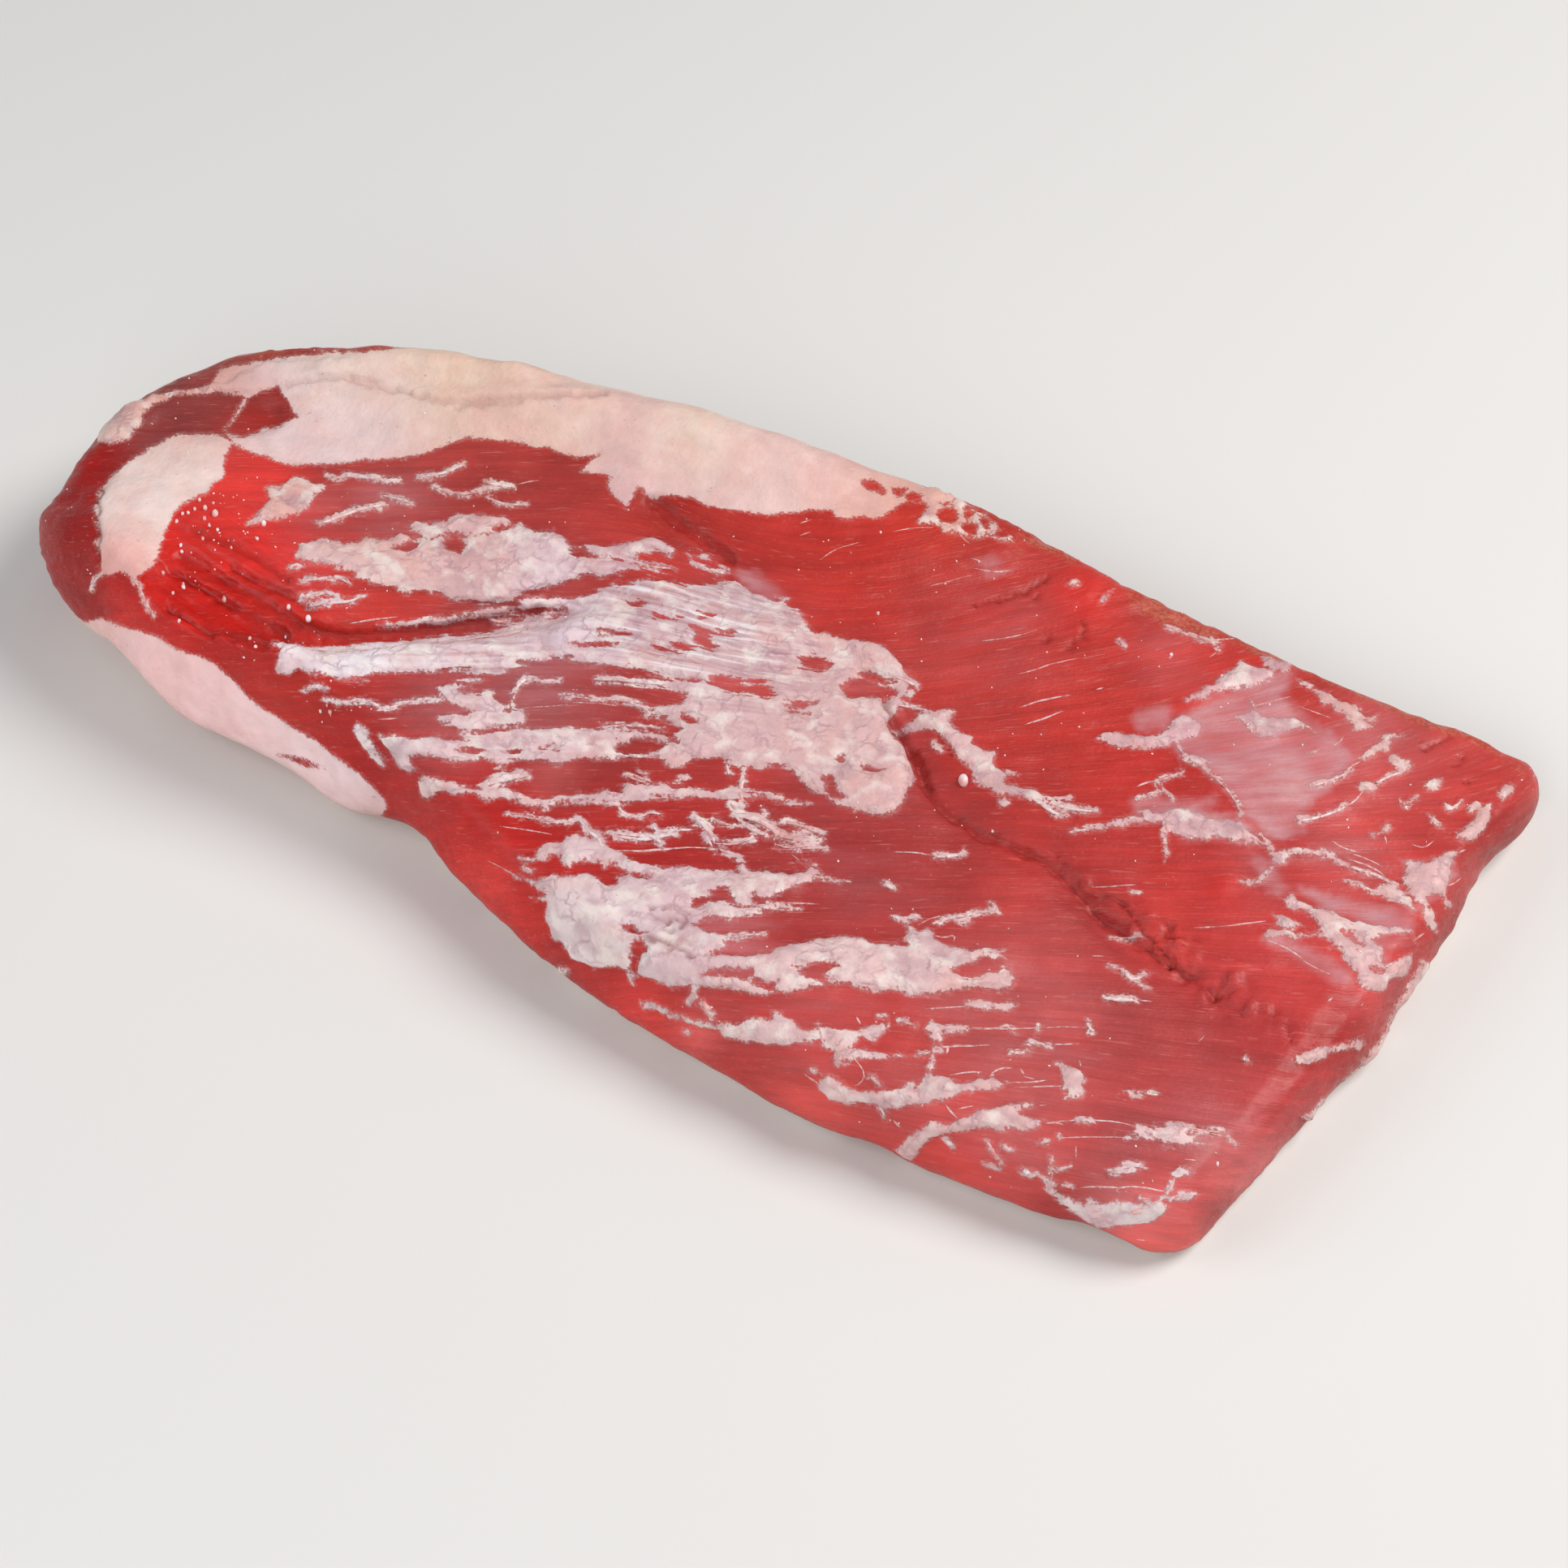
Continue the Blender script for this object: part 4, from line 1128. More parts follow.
def dress_skin(skin, lean_tree, fat_tree, settings):
    """Store the fat, membranes, colours and fibres on the skin and raise its relief."""
    mesh = skin.data
    points = nudged(points_of(mesh))
    move_points(mesh, points)
    normals = normals_of(mesh)
    places = photo_place(points)
    seen, facing = seen_from_camera(mesh, points, normals)
    broad, patches = fat_depth(places)
    shown = np.maximum(broad, patches) / PIXELS_PER_MM
    local = points / MM
    high_up = smooth_step(9.0, 24.0, local[:, 2])
    slid = 14.0 * noise(local, 34.0, 31) + 7.0 * noise(local, 9.0, 32) + 0.8 * (local[:, 2] - 40.0)
    sought = points + (slid * high_up * (1.0 - seen))[:, None] * (MM, 0.0, 0.0)
    to_lean = nearest_distance(lean_tree, sought)
    to_fat = nearest_distance(fat_tree, sought)
    ragged = noise(local, 14.0, 5) * 1.5 + noise(local, 4.0, 6) * 0.8
    hidden = np.clip((to_lean - to_fat) / MM * 0.5 + ragged, -6.0, 6.0)
    fat = shown * seen + hidden * (1.0 - seen)

    rough = places + np.stack((noise(pad(places), 7.0, 24), noise(pad(places), 7.0, 25)), 1) * 3.0
    frayed = rough + noise(fibre_places(points, None), (26.0, 4.0, 30.0), 34)[:, None] * (9.0, 3.0)
    veil = smooth_step(-9.0, 11.0, deepest(frayed, VEILS, loop_depth)) * (0.75 + 0.4 * noise(local, 9.0, 30))
    cloudy = 0.75 + 0.5 * noise(fibre_places(points, None), (30.0, 7.0, 30.0), 33)
    veil = np.maximum(veil, soft_spots(places, VEIL_SPOTS) * cloudy) * seen
    milk = soft_spots(places, MILK_SPOTS) * seen
    sheet = soft_spots(places, SHEET_SPOTS) * seen * smooth_step(5.0, -5.0, broad)
    even = smooth_step(-3.0, 3.0, broad) * seen + (1.0 - seen)
    folds = smooth_step(-18.0, 22.0, loop_depth(places, FOLD_ZONE)) * seen
    cracks = smooth_step(-2.6, 0.5, deepest(rough, CRACKS, line_depth)) * seen
    torn = smooth_step(-4.0, 8.0, loop_depth(places, TORN_OPENING)) * seen
    torn *= smooth_step(-0.7, 0.1, noise(local, 5.5, 7) + 0.5 * noise(local, 2.6, 26))
    flakes = noise(local, 3.6, 29) + 0.6 * noise(local, 1.9, 35)
    seam = smooth_step(-9.0, 0.0, line_depth(rough, (1,) + SEAM_LINE)) * seen
    creases = smooth_step(-7.0, 1.0, deepest(rough, FOLD_LINES, line_depth)) * seen
    roll_creases = smooth_step(-5.0, 0.0, deepest(rough, ROLL_LINES, line_depth)) * seen
    rim = smooth_step(-4.0, 6.0, deepest(rough, DRY_RIMS, line_depth)) * (0.1 + 0.9 * seen)
    rim = np.maximum(rim, smooth_step(-3.0, 5.0, loop_depth(rough, RAW_RIM)))
    rim *= smooth_step(-0.7, 0.3, noise(local, 12.0, 8))

    fibre = fibre_places(points, None)
    fold_fibre = fibre_places(points, FOLD_SLOPE)
    lean_part = 1.0 - smooth_step(-0.4, 0.4, fat)
    rise = settings.fat_rise / MM
    combed = np.clip(sheet / FULL_SHEET, 0.0, 1.0)
    lumps = 0.65 * noise(local, 8.0, 27) + 0.45 * noise(local, 3.4, 28)
    uneven = lumps * (1.0 - combed) + noise(fibre, (26.0, 2.4, 30.0), 18) * combed
    swell = smooth_step(-0.3, 1.3, patches / PIXELS_PER_MM) * seen
    height = rise * swell * (1.0 + 0.55 * uneven + 0.3 * noise(local, 14.0, 9))
    height += 0.5 * noise(local, 16.0, 10) + 0.25 * noise(local, 6.0, 11)
    ridges = noise(fibre, (26.0, 2.6, 40.0), 12) + 0.7 * noise(fibre, (60.0, 6.0, 40.0), 13)
    fold_ridges = noise(fold_fibre, (40.0, 4.2, 40.0), 14) * 2.6 + noise(fold_fibre, (22.0, 9.0, 30.0), 15)
    height += settings.fibre_rise / MM * lean_part * (ridges * (1 - folds) + fold_ridges * 1.3 * folds)
    height += RIM_HEIGHT * rim * noise(local, 3.4, 16)
    height += soft_spots(places, BUMPS) * (1.0 + 0.5 * noise(local, 5.0, 19)) * seen
    height += torn * (TORN_HEIGHT * flakes - 0.2)
    height -= settings.crack_depth / MM * cracks
    height -= SEAM_DEPTH * (1.0 + 0.6 * noise(local, 7.0, 23)) * seam
    height -= CREASE_DEPTH * creases + ROLL_CREASE_DEPTH * roll_creases
    height -= CREST_CUT * smooth_step(-20.0, 0.0, line_depth(rough, END_CREST)) * seen
    flat = smooth_step(-0.9, -0.6, normals[:, 2])
    moved = points + normals * (height * flat)[:, None] * MM
    low, high = cad_box()
    moved = np.clip(moved, low, high)

    torn_dark = torn * smooth_step(0.2, -0.3, flakes)
    dark = cracks + 0.45 * torn_dark + 0.65 * seam + 0.6 * creases + 0.35 * roll_creases
    hollow = smooth_step(0.1, -0.55, uneven) * (1.0 - 0.85 * even)
    known = (seen * smooth_step(0.0, 0.3, facing))[:, None]
    lean_tint = blended(places, LEAN_COLOURS, HIDDEN_LEAN) * known
    lean_tint += np.array(linear(HIDDEN_LEAN)) * (1.0 - known)
    fat_tint = blended(places, FAT_COLOURS, HIDDEN_FAT) * known
    pinker = smooth_step(-0.7, 0.9, noise(local, (46.0, 24.0, 20.0), 36) + 0.6 * noise(local, 8.0, 37))
    hidden_fat = blend(linear(HIDDEN_FAT), linear(PINK_FAT), pinker)
    fat_tint += hidden_fat * (1.0 - known)
    for name, values in (("fibre", fibre), ("fold_fibre", fold_fibre)):
        layer = mesh.attributes.new(name, "FLOAT_VECTOR", "POINT")
        layer.data.foreach_set("vector", values.ravel())
    grit = smooth_step(-1.0, 1.0, noise(local, 30.0, 17)) * 0.35 + soft_spots(places, GRIT_SPOTS)
    grit *= seen * smooth_step(-0.1, 0.5, normals[:, 2])
    kept = {"fat": np.clip(fat, -8.0, 8.0), "veil": veil, "milk": milk, "folds": folds,
            "dark": np.clip(dark, 0.0, 1.0), "rim": rim, "sheet": sheet, "broad": even, "hollow": hollow,
            "lean_tint": lean_tint, "fat_tint": fat_tint, "grit": grit}
    for name, values in kept.items():
        store(mesh, name, values)
    move_points(mesh, moved)


def opaque(colour):
    """A colour with full opacity, as a colour socket takes it."""
    return (*(linear(colour) if isinstance(colour, str) else colour), 1.0)


def meat_material(settings):
    """Raw beef: wet fibres, with fat where the stored depth says, both slightly translucent."""
    # A knife and tearing leave cut fibres under a film of meat juice: the fibre grain gives short
    # dull streaks of red, and the film gives small broken highlights.
    material, tree, shader = new_material("raw_beef_and_fat", {
        "IOR": 1.40, "Specular IOR Level": 0.34, "Coat Weight": 0.1, "Coat Roughness": 0.28,
        "Subsurface Weight": 0.10, "Subsurface Radius": (1.0, 0.35, 0.25), "Subsurface Scale": 2.0 * MM})
    place = add(tree, "ShaderNodeTexCoord", out="Object")
    stored = {}
    for name in ("fat", "veil", "milk", "folds", "dark", "rim", "sheet", "broad", "hollow"):
        stored[name] = add(tree, STORED, (), {"attribute_name": name}, "Fac")
    for name in ("lean_tint", "fat_tint"):
        stored[name] = add(tree, STORED, (), {"attribute_name": name}, "Color")
    for name in ("fibre", "fold_fibre"):
        stored[name] = add(tree, STORED, (), {"attribute_name": name}, "Vector")

    grains = {}
    for name, per_metre, detail in GRAINS:
        grains[name] = add(tree, NOISE, (place, None, per_metre, detail), None, "Fac")
    for name, source, per_mm, detail in FIBRE_GRAINS:
        drawn = add(tree, VECTOR_MATHS, (stored[source], per_mm), TIMES)
        grains[name] = add(tree, NOISE, (drawn, None, 1.0, detail), None, "Fac")

    # Torn fat breaks into lumps about 7 mm wide with grey clefts between them.
    shifted = add(tree, NOISE, (place, None, 260.0, 2.0), None, "Color")
    shifted = add(tree, VECTOR_MATHS, (shifted, (6.0 * MM,) * 3, place),
                  {"operation": "MULTIPLY_ADD"})
    cleft = add(tree, "ShaderNodeTexVoronoi", {"Vector": shifted, "Scale": 150.0},
                {"feature": "DISTANCE_TO_EDGE"}, "Distance")
    loose = add(tree, REMAP, (stored["broad"], 0.0, 0.5, 1.0, 0.0))
    lumpy = add(tree, REMAP, (grains["lump"], 0.42, 0.6, 0.15, 1.0))
    cleft = add(tree, MATHS, (add(tree, REMAP, (cleft, 0.0, 0.16, 1.0, 0.0)), loose), TIMES)
    cleft = add(tree, MATHS, (cleft, lumpy), TIMES)

    # The fat's edge is ragged at about 1 mm, and torn along the fibres where the fat is a thin sheet.
    tearing = add(tree, REMAP, (grains["tear"], 0.3, 0.7, -1.0, 1.0))
    reach = add(tree, MATHS, (stored["sheet"], 0.25), PLUS)
    tearing = add(tree, MATHS, (tearing, reach), TIMES)
    crumbling = add(tree, REMAP, (grains["crumb"], 0.3, 0.7, -0.55, 0.55))
    depth = add(tree, MATHS, (stored["fat"], tearing), PLUS)
    depth = add(tree, MATHS, (depth, crumbling), PLUS)
    fat = add(tree, REMAP, (depth, -0.22, 0.26))
    fringe = add(tree, REMAP, (depth, -1.1, 0.3, 0.0, 0.26))

    # Muscle fibres run in bundles about 0.6 and 3 mm thick and tens of mm long.
    fibres = add(tree, MIX, {0: stored["folds"], 2: grains["fibre"], 3: grains["fold"]})
    lean = stored["lean_tint"]
    for grain, *spread in ((fibres, 0.28, 0.72, 0.92, 1.08), (grains["bundle"], 0.28, 0.72, 0.87, 1.11),
                           (grains["blotch"], 0.3, 0.7, 0.87, 1.12)):
        value = add(tree, REMAP, (grain, *spread))
        lean = add(tree, TURN, {"Color": lean, "Value": value})
    pale = opaque("#CC7069")
    dashes = add(tree, REMAP, (grains["dash"], 0.63, 0.74, 0.0, 0.5))
    specks = add(tree, REMAP, (grains["speck"], 0.68, 0.76, 0.0, 0.30))
    film = add(tree, REMAP, (grains["tear"], 0.3, 0.65, 0.62, 1.0))
    film = add(tree, MATHS, (film, stored["veil"]), TIMES)
    milky = add(tree, REMAP, (grains["lump"], 0.3, 0.66, 0.25, 1.15))
    milky = add(tree, MATHS, (milky, stored["milk"]), {"operation": "MULTIPLY", "use_clamp": True})
    veil = add(tree, MIX, {0: milky, 6: opaque(settings.veil_colour), 7: opaque("#DFB4B6")}, COLOURS, 2)
    dried = add(tree, REMAP, (grains["dry"], 0.3, 0.6, 0.45, 1.0))
    dried = add(tree, MATHS, (dried, stored["rim"]), TIMES)
    flecks = add(tree, REMAP, (grains["speck"], 0.4, 0.6))
    crust = add(tree, MIX, {0: flecks, 6: opaque(settings.rim_colour), 7: opaque("#BC6650")}, COLOURS, 2)
    shade = add(tree, MATHS, (stored["dark"], 0.75), TIMES)
    for share, colour in ((dashes, pale), (specks, pale), (fringe, stored["fat_tint"]), (film, veil),
                          (dried, crust), (shade, opaque("#8E1C16"))):
        lean = add(tree, MIX, {0: share, 6: lean, 7: colour}, COLOURS, 2)

    # Beef fat is cream to faint pink. The thin sheets show silvery and pink lines along the fibres.
    value = add(tree, REMAP, (grains["lump"], 0.3, 0.7, 0.92, 1.06))
    cream = add(tree, TURN, {"Color": stored["fat_tint"], "Value": value})
    thin = add(tree, REMAP, (stored["sheet"], 0.6, 1.8, 0.06, 1.0))
    thin = add(tree, MATHS, (thin, add(tree, REMAP, (stored["broad"], 0.0, 1.0, 1.0, 0.2))), TIMES)
    pink = add(tree, MATHS, (add(tree, REMAP, (grains["line"], 0.47, 0.33, 0.0, 0.85)), thin), TIMES)
    hollow = add(tree, MATHS, (stored["hollow"], 0.5), TIMES)
    grey = add(tree, MATHS, (cleft, 0.55), TIMES)
    silver = add(tree, MATHS, (add(tree, REMAP, (grains["line"], 0.54, 0.70, 0.0, 0.80)), thin), TIMES)
    warm = add(tree, REMAP, (grains["patch"], 0.50, 0.72, 0.0, 0.30))
    bright = add(tree, REMAP, (grains["cloud"], 0.50, 0.68, 0.0, 0.6))
    bright = add(tree, MATHS, (bright, add(tree, REMAP, (loose, 0.0, 1.0, 0.2, 1.0))), TIMES)
    rosy = add(tree, REMAP, (depth, 0.1, 0.8, 0.22, 0.0))
    trace = add(tree, REMAP, (grains["trace"], 0.69, 0.76, 0.0, 0.35))
    split = add(tree, MATHS, (stored["dark"], 0.6), TIMES)
    for share, colour in ((pink, "#AE7A82"), (hollow, "#B08890"), (grey, "#A9838E"), (silver, "#F0E9ED"),
                          (warm, "#DDA092"), (bright, "#EDE3DC"), (rosy, "#CF7C74"), (trace, "#C0524A"),
                          (split, "#7E3A40")):
        cream = add(tree, MIX, {0: share, 6: cream, 7: opaque(colour)}, COLOURS, 2)
    skin_colour = add(tree, MIX, {0: fat, 6: lean, 7: cream}, COLOURS, 2)
    tree.links.new(skin_colour, shader.inputs["Base Color"])

    wet = add(tree, REMAP, (grains["dry"], 0.3, 0.7, 0.34, 0.54))
    waxy = add(tree, REMAP, (grains["trace"], 0.3, 0.7, 0.36, 0.55))
    tree.links.new(add(tree, MIX, {0: fat, 2: wet, 3: waxy}), shader.inputs["Roughness"])

    thin = add(tree, REMAP, (stored["sheet"], 0.6, 1.8))
    silky = add(tree, MIX, {0: thin, 2: grains["trace"], 3: grains["line"]})
    calm = add(tree, MATHS, (fibres, 0.6), TIMES)
    combed = add(tree, MIX, {0: fat, 2: calm, 3: silky})
    relief = add(tree, MATHS, (grains["grit"], 0.5), TIMES)
    relief = add(tree, MATHS, (combed, relief), PLUS)
    step = add(tree, MATHS, (fat, 0.7), TIMES)
    relief = add(tree, MATHS, (relief, step), PLUS)
    split = add(tree, MATHS, (cleft, step), TIMES)
    relief = add(tree, MATHS, (relief, split), {"operation": "SUBTRACT"})
    bump = add(tree, "ShaderNodeBump", {"Strength": 0.6, "Distance": 0.8 * MM, "Height": relief})
    tree.links.new(bump, shader.inputs["Normal"])
    return material


class BRISKET_OT_skin(bpy.types.Operator):
    """Build the skin of meat and fat over the two solids"""

    bl_idname = "brisket.skin"
    bl_label = "Meat and fat"

    def execute(self, context):
        settings = context.scene.brisket
        skin, lean_tree, fat_tree = joined_skin(settings)
        thin_underside(skin, settings.underside_share)
        dress_skin(skin, lean_tree, fat_tree, settings)
        skin.data.materials.clear()
        skin.data.materials.append(meat_material(settings))
        skin.data.shade_smooth()
        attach(skin, "root")
        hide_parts("lean", "fat_cap")
        return {"FINISHED"}


def spaced_chain(points, step):
    """Round a chain's corners and space its points evenly."""
    chain = np.reshape(points, (-1, 2)).astype(float)
    for _ in range(2):
        if len(chain) > 2:
            inner = np.stack((chain[:-1] * 0.75 + chain[1:] * 0.25,
                              chain[:-1] * 0.25 + chain[1:] * 0.75), 1).reshape(-1, 2)
            chain = np.vstack((chain[:1], inner, chain[-1:]))
    lengths = np.hypot(*np.diff(chain, axis=0).T)
    travelled = np.concatenate(((0.0,), np.cumsum(lengths)))
    count = max(4, int(travelled[-1] / step) + 1)
    wanted = np.linspace(0.0, travelled[-1], count)
    return np.stack([np.interp(wanted, travelled, chain[:, axis]) for axis in (0, 1)], 1)


def on_skin(tree, place):
    """Where the camera's ray through a pixel meets the skin, and the way the skin faces."""
    point, normal, _, _ = tree.ray_cast(Vector(CAMERA_PLACE), photo_ray(place))
    if point is None or normal.dot(photo_ray(place)) > -0.05:
        return None
    return np.array(point), np.array(normal)


# Shape of a strand across: share of its width to the side, share of its height above the skin.
STRAND_SECTION = (
    (0.0, -2.2), (0.5, -0.9), (0.42, 0.35), (0.15, 1.0), (-0.2, 0.9), (-0.44, 0.25), (-0.5, -0.9),
)


def strand_shape(tree, row, settings, seed):
    """One tapered ragged strand laid on the skin: its vertices, its faces and its points' pixels."""
    chain = spaced_chain(row[1:], settings.strand_step / MM * PIXELS_PER_MM)
    found = [on_skin(tree, place) for place in chain]
    chain = np.array([place for place, hit in zip(chain, found) if hit is not None])
    found = [hit for hit in found if hit is not None]
    if len(found) < 3:
        return [], [], []
    centres = np.array([hit[0] for hit in found])
    ups = np.array([hit[1] for hit in found])
    ups = (ups + np.roll(ups, 1, axis=0) + np.roll(ups, -1, axis=0))
    ups[0], ups[-1] = found[0][1], found[-1][1]
    ups /= np.linalg.norm(ups, axis=1)[:, None]
    headings = np.gradient(centres, axis=0)
    sides = np.cross(ups, headings)
    sides /= np.maximum(np.linalg.norm(sides, axis=1), 1e-9)[:, None]
    part = np.linspace(0.0, 1.0, len(centres))
    taper = np.clip(np.sin(np.pi * part), 0.0, 1.0) ** 0.45
    ragged = 1.0 + 0.45 * noise(centres / MM + seed, 3.2, 20) + 0.3 * noise(centres / MM, 7.0, 21)
    width = max(row[0], 1.6) / PIXELS_PER_MM * MM * taper * ragged + 0.12 * MM
    drift = 0.18 * MM * noise(centres / MM + seed, 4.0, 22)
    height = settings.strand_rise * (0.55 + 0.45 * min(row[0] / 4.0, 1.4)) * taper + 0.04 * MM
    vertices = []
    for centre, up, side, wide, tall, shift in zip(centres, ups, sides, width, height, drift):
        for across, above in STRAND_SECTION:
            vertices.append(centre + side * (across * wide + shift) + up * above * tall)
    around = len(STRAND_SECTION)
    faces = []
    for ring in range(len(centres) - 1):
        for corner in range(around):
            following = (corner + 1) % around
            faces.append((ring * around + corner, ring * around + following,
                          (ring + 1) * around + following, (ring + 1) * around + corner))
    last = (len(centres) - 1) * around
    faces.append(tuple(reversed(range(around))))
    faces.append(tuple(range(last, last + around)))
    return vertices, faces, np.repeat(chain, around, axis=0).tolist()


def skin_tree(skin):
    """A search tree over the finished skin."""
    return BVHTree.FromPolygons([tuple(p) for p in points_of(skin.data)],
                                [tuple(f.vertices) for f in skin.data.polygons])


def sinew_material(settings):
    """Sinew and thin fat: pale, a little see-through and wet."""
    # Wet strands blend into the meat at their edges and catch a thin line of light along the top.
    material, tree, shader = new_material("beef_sinew", {
        "Roughness": 0.42, "Coat Weight": 0.12,
        "Subsurface Weight": 0.10, "Subsurface Radius": (1.0, 0.4, 0.3), "Subsurface Scale": 1.5 * MM})
    place = add(tree, "ShaderNodeTexCoord", out="Object")
    coarse = add(tree, NOISE, (place, None, 60.0, 2.0), None, "Fac")
    fine = add(tree, NOISE, (place, None, 600.0, 3.0), None, "Fac")
    beside = add(tree, STORED, (), {"attribute_name": "beside"}, "Color")
    edge = add(tree, STORED, (), {"attribute_name": "edge"}, "Fac")
    pink = add(tree, REMAP, (coarse, 0.42, 0.68))
    colour = add(tree, MIX, {0: pink, 6: opaque(settings.sinew_colour), 7: opaque("#D9A09A")}, COLOURS, 2)
    worn = add(tree, MATHS, (edge, add(tree, REMAP, (fine, 0.35, 0.65, -0.5, 0.35))),
               {"operation": "ADD", "use_clamp": True})
    worn = add(tree, MATHS, (worn, 0.8), TIMES)
    colour = add(tree, MIX, {0: worn, 6: colour, 7: beside}, COLOURS, 2)
    tree.links.new(colour, shader.inputs["Base Color"])
    bump = add(tree, "ShaderNodeBump", {"Strength": 0.4, "Distance": 0.3 * MM, "Height": fine})
    tree.links.new(bump, shader.inputs["Normal"])
    return material


class BRISKET_OT_strands(bpy.types.Operator):
    """Lay the strands of sinew and thin fat on the skin"""

    bl_idname = "brisket.strands"
    bl_label = "Strands"

    def execute(self, context):
        settings = context.scene.brisket
        tree = skin_tree(bpy.data.objects["brisket_skin"])
        vertices = []
        faces = []
        places = []
        faint = []
        for seed, row in enumerate(STRANDS):
            more, sides, shown = strand_shape(tree, row, settings, seed)
            faint.extend([min(max(1.0 - 0.17 * row[0], 0.1), 0.78)] * len(more))
            faces.extend(tuple(index + len(vertices) for index in side) for side in sides)
            vertices.extend(more)
            places.extend(shown)
        low, high = cad_box()
        mesh = bpy.data.meshes.new("brisket_strands")
        mesh.from_pydata(np.clip(np.array(vertices), low, high).tolist(), [], faces)
        store(mesh, "beside", blended(np.array(places), LEAN_COLOURS, HIDDEN_LEAN))
        edge = np.array([1.0 - min(above + 0.3, 1.0) for _, above in STRAND_SECTION])
        edge = np.tile(edge, len(vertices) // len(edge))
        store(mesh, "edge", np.clip(np.maximum(edge, np.array(faint)), 0.0, 1.0))
        strands = mesh_object("brisket_strands", mesh)
        shape = bmesh.new()
        shape.from_mesh(mesh)
        bmesh.ops.recalc_face_normals(shape, faces=shape.faces)
        shape.to_mesh(mesh)
        shape.free()
        mesh.shade_smooth()
        mesh.materials.append(sinew_material(settings))
        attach(strands, "root")
        return {"FINISHED"}


def cad_box():
    """Lowest and highest corner of the two solids."""
    boxes = [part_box(node) for node in ("lean", "fat_cap")]
    low = np.min([tuple(box[0]) for box in boxes], axis=0)
    high = np.max([tuple(box[1]) for box in boxes], axis=0)
    return low, high


def granule_seeds(tree):
    """A mesh of loose points, one for each granule read off the photograph, with its width."""
    rows = np.reshape(CRUMBS, (-1, 3))
    points = []
    widths = []
    for x, y, width in rows:
        hit = on_skin(tree, (x, y))
        if hit is not None:
            points.append(hit[0])
            widths.append(width * GRANULE_SWELL / PIXELS_PER_MM * MM)
    mesh = bpy.data.meshes.new("granule_seeds")
    mesh.from_pydata([tuple(point) for point in points], [], [])
    layer = mesh.attributes.new("width", "FLOAT", "POINT")
    layer.data.foreach_set("value", np.array(widths))
    return mesh_object("granule_seeds", mesh)


def granule_nodes(material):
    """Scatter ragged granules over the skin and at the seeds, as one mesh."""
    tree = bpy.data.node_groups.new("scatter_granules", "GeometryNodeTree")
    face = tree.interface
    face.new_socket("Geometry", in_out="OUTPUT", socket_type="NodeSocketGeometry")
    for name, kind in (("Seeds", "Geometry"), ("Skin", "Object"), ("Density", "Float"), ("Width", "Float")):
        face.new_socket(name, in_out="INPUT", socket_type="NodeSocket" + kind)
    given = tree.nodes.new("NodeGroupInput")
    result = tree.nodes.new("NodeGroupOutput")
    skin = add(tree, "GeometryNodeObjectInfo", {"Object": given.outputs["Skin"]}, None, "Geometry")
    grit = add(tree, "GeometryNodeInputNamedAttribute", {"Name": "grit"}, None, "Attribute")
    density = add(tree, MATHS, (grit, given.outputs["Density"]), TIMES)
    spots = add(tree, "GeometryNodeDistributePointsOnFaces", {"Mesh": skin, "Density": density, "Seed": 4},
                None, "Points")
    chance = add(tree, "FunctionNodeRandomValue", {2: 0.35, 3: 1.0, "Seed": 9}, {"data_type": "FLOAT"}, 1)
    small = add(tree, MATHS, (chance, given.outputs["Width"]), TIMES)
    sized = add(tree, "GeometryNodeStoreNamedAttribute",
                {"Geometry": spots, "Name": "width", "Value": small},
                {"data_type": "FLOAT", "domain": "POINT"})
    seeds = add(tree, "GeometryNodeMeshToPoints", {"Mesh": given.outputs["Seeds"]})
    both = add(tree, "GeometryNodeJoinGeometry", (seeds,))
    tree.links.new(sized, both.node.inputs[0])
    ball = add(tree, "GeometryNodeMeshIcoSphere", {"Radius": 0.5, "Subdivisions": 2}, None, "Mesh")
    width = add(tree, "GeometryNodeInputNamedAttribute", {"Name": "width"}, None, "Attribute")
    free = {"data_type": "FLOAT_VECTOR"}
    turn = add(tree, "FunctionNodeRandomValue", {1: (math.tau, math.tau, math.tau), "Seed": 3}, free)
    uneven = add(tree, "FunctionNodeRandomValue",
                 {0: (0.8, 0.75, 0.6), 1: (1.2, 1.05, 0.95), "Seed": 5}, free)
    scale = add(tree, VECTOR_MATHS, {0: uneven, "Scale": width}, {"operation": "SCALE"})
    placed = add(tree, "GeometryNodeInstanceOnPoints",
                 {"Points": both, "Instance": ball, "Rotation": turn, "Scale": scale})
    real = add(tree, "GeometryNodeRealizeInstances", {"Geometry": placed})
    rough = add(tree, NOISE, {"Scale": 1300.0, "Detail": 1.0}, None, "Color")
    shift = add(tree, VECTOR_MATHS, (rough, (0.7 * MM,) * 3, (-0.35 * MM,) * 3),
                {"operation": "MULTIPLY_ADD"})
    ragged = add(tree, "GeometryNodeSetPosition", {"Geometry": real, "Offset": shift})
    done = add(tree, "GeometryNodeSetMaterial", {"Geometry": ragged, "Material": material})
    tree.links.new(done, result.inputs[0])
    return tree


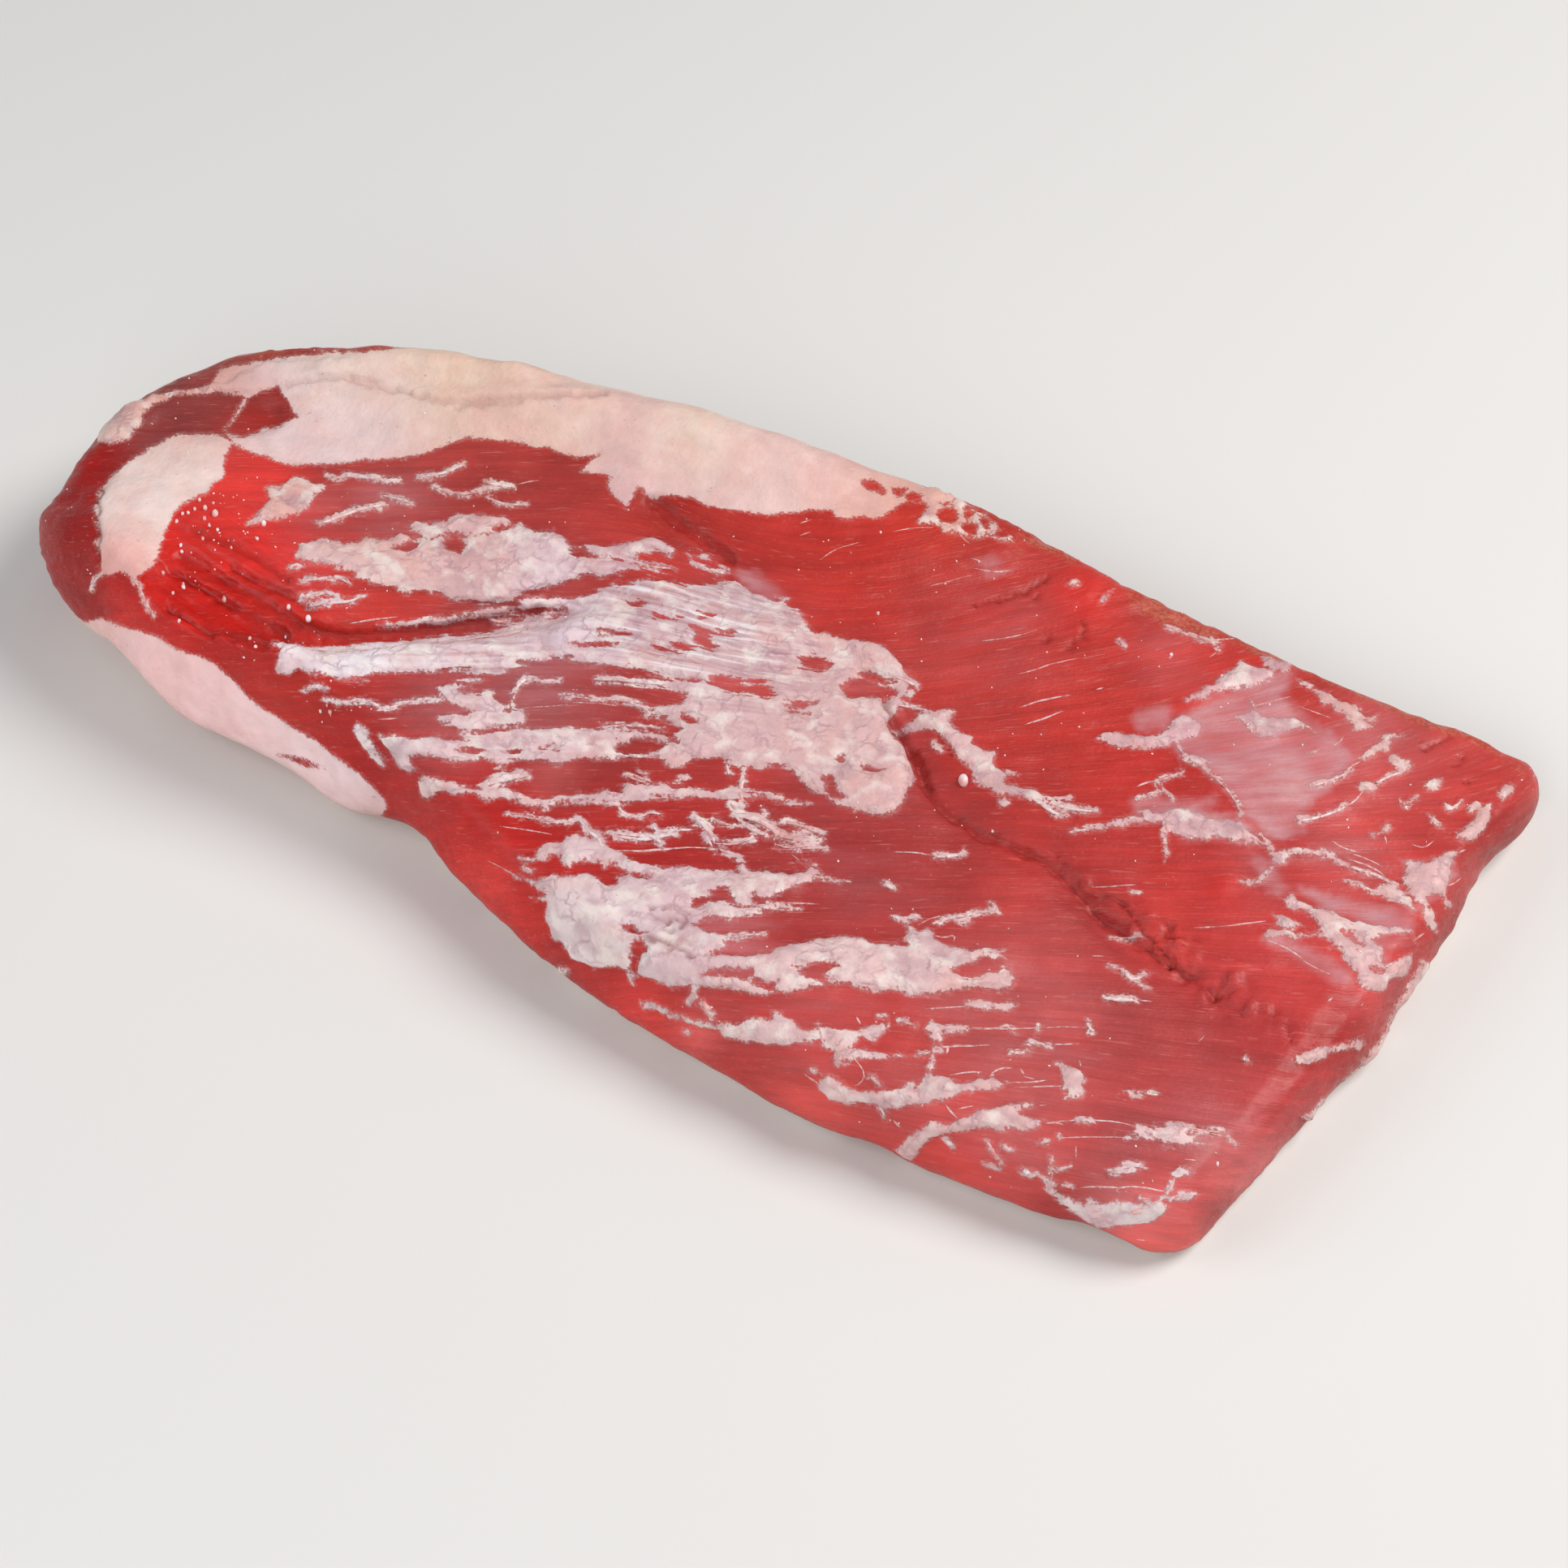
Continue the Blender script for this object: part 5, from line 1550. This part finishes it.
def granule_material():
    """Crumbled hard fat: near white with pink meat juice soaked in."""
    # Broken fat is dull and slightly see-through, so it has no sharp highlight.
    material, tree, shader = new_material("beef_fat_granules", {
        "Roughness": 0.5, "Subsurface Weight": 0.10, "Subsurface Scale": 1.0 * MM})
    place = add(tree, "ShaderNodeTexCoord", out="Object")
    stain = add(tree, NOISE, (place, None, 180.0), None, "Fac")
    part = add(tree, REMAP, (stain, 0.42, 0.62))
    colour = add(tree, MIX, {0: part, 6: opaque("#F0E4E6"), 7: opaque("#E2AAA4")}, COLOURS, 2)
    tree.links.new(colour, shader.inputs["Base Color"])
    return material


# Density to scatter for each granule that is wanted.
DENSITY_PER_GRANULE = 60.0


class BRISKET_OT_granules(bpy.types.Operator):
    """Scatter the loose granules of fat"""

    bl_idname = "brisket.granules"
    bl_label = "Granules"

    def execute(self, context):
        settings = context.scene.brisket
        skin = bpy.data.objects["brisket_skin"]
        seeds = granule_seeds(skin_tree(skin))
        nodes = granule_nodes(granule_material())
        scatter = seeds.modifiers.new("Scatter", "NODES")
        scatter.node_group = nodes
        values = {"Skin": skin, "Density": settings.granules * DENSITY_PER_GRANULE,
                  "Width": settings.granule_width}
        for item in nodes.interface.items_tree:
            if item.in_out == "INPUT" and item.name in values:
                scatter[item.identifier] = values[item.name]
        apply_modifiers(seeds)
        seeds.name = "brisket_granules"
        low, high = cad_box()
        move_points(seeds.data, np.clip(points_of(seeds.data), low, high))
        seeds.data.shade_smooth()
        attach(seeds, "root")
        return {"FINISHED"}


def area_light(name, place, aim, size, power, colour):
    """Add one soft lamp that points at a place."""
    lamp = bpy.data.lights.new(name, "AREA")
    lamp.shape = "DISK"
    lamp.size = size
    lamp.energy = power
    lamp.color = colour
    made = bpy.data.objects.new(name, lamp)
    made.location = place
    made.rotation_euler = (Vector(aim) - Vector(place)).to_track_quat("-Z", "Y").to_euler()
    bpy.context.scene.collection.objects.link(made)


class BRISKET_OT_stage(bpy.types.Operator):
    """Set up the floor, the soft light and the camera"""

    bl_idname = "brisket.stage"
    bl_label = "Stage"

    def execute(self, context):
        scene = context.scene
        floor = bpy.data.meshes.new("floor")
        corners = [(x * FLOOR_HALF, y * FLOOR_HALF, 0.0) for x, y in ((-1, -1), (1, -1), (1, 1), (-1, 1))]
        floor.from_pydata(corners, [], ((0, 1, 2, 3),))
        paper = new_material("pale_paper", {"Base Color": opaque("#DEDCDA"), "Roughness": 0.9})[0]
        floor.materials.append(paper)
        mesh_object("floor", floor)

        world = bpy.data.worlds.new("soft_studio")
        world.use_nodes = True
        sky = world.node_tree.nodes["Background"].inputs
        sky["Color"].default_value = WORLD_COLOUR
        sky["Strength"].default_value = WORLD_STRENGTH
        scene.world = world
        scene.view_settings.view_transform = "Standard"
        for name, place, size, power, colour in LAMPS:
            area_light(name, place, LAMP_AIM, size, power, colour)

        lens = bpy.data.cameras.new("camera")
        lens.sensor_width = SENSOR_WIDTH_MM
        lens.lens = SENSOR_WIDTH_MM / 2 * CAMERA_DISTANCE / VIEW_HALF_WIDTH
        lens.clip_start = 0.05
        camera = bpy.data.objects.new("camera", lens)
        camera.location = CAMERA_PLACE
        camera.rotation_euler = Vector(FORWARD).to_track_quat("-Z", "Y").to_euler()
        scene.collection.objects.link(camera)
        scene.camera = camera
        return {"FINISHED"}


# Colour and strength of the light from all around.
WORLD_COLOUR = (0.94, 0.97, 1.0, 1.0)
WORLD_STRENGTH = 0.27

# Half the floor's width in metres: far enough for its edge to stay out of low views.
FLOOR_HALF = 30.0

# Soft lamps: name, place, width in metres, power in watts, colour. All point at one place.
LAMP_AIM = (0.0, 0.0, 0.03)
LAMPS = (
    ("key", (1.25, 0.85, 1.75), 1.2, 41.0, (1.0, 0.985, 0.96)),
    ("fill", (-1.35, -1.15, 1.25), 1.5, 14.0, (0.97, 0.98, 1.0)),
    ("front", (0.55, -1.65, 1.15), 1.2, 13.0, (1.0, 0.99, 0.97)),
)

STEPS = (BRISKET_OT_skin, BRISKET_OT_strands, BRISKET_OT_granules, BRISKET_OT_stage)


class BRISKET_PT_panel(bpy.types.Panel):
    """Sizes, colours and steps of the brisket's looks"""

    bl_idname = "BRISKET_PT_panel"
    bl_label = "Raw beef brisket"
    bl_space_type = "VIEW_3D"
    bl_region_type = "UI"
    bl_category = "Brisket"

    def draw(self, context):
        settings = context.scene.brisket
        for name in settings.bl_rna.properties.keys():
            if name not in ("rna_type", "name"):
                self.layout.prop(settings, name)
        for step in STEPS:
            self.layout.operator(step.bl_idname)


def register():
    for kind in (BrisketSettings,) + STEPS + (BRISKET_PT_panel,):
        bpy.utils.register_class(kind)
    bpy.types.Scene.brisket = bpy.props.PointerProperty(type=BrisketSettings)


def unregister():
    del bpy.types.Scene.brisket
    for kind in (BRISKET_PT_panel,) + tuple(reversed(STEPS)) + (BrisketSettings,):
        bpy.utils.unregister_class(kind)


def main():
    """Build every piece and the stage."""
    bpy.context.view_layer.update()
    register()
    bpy.ops.brisket.skin()
    bpy.ops.brisket.strands()
    bpy.ops.brisket.granules()
    bpy.ops.brisket.stage()


if __name__ == "__main__":
    main()
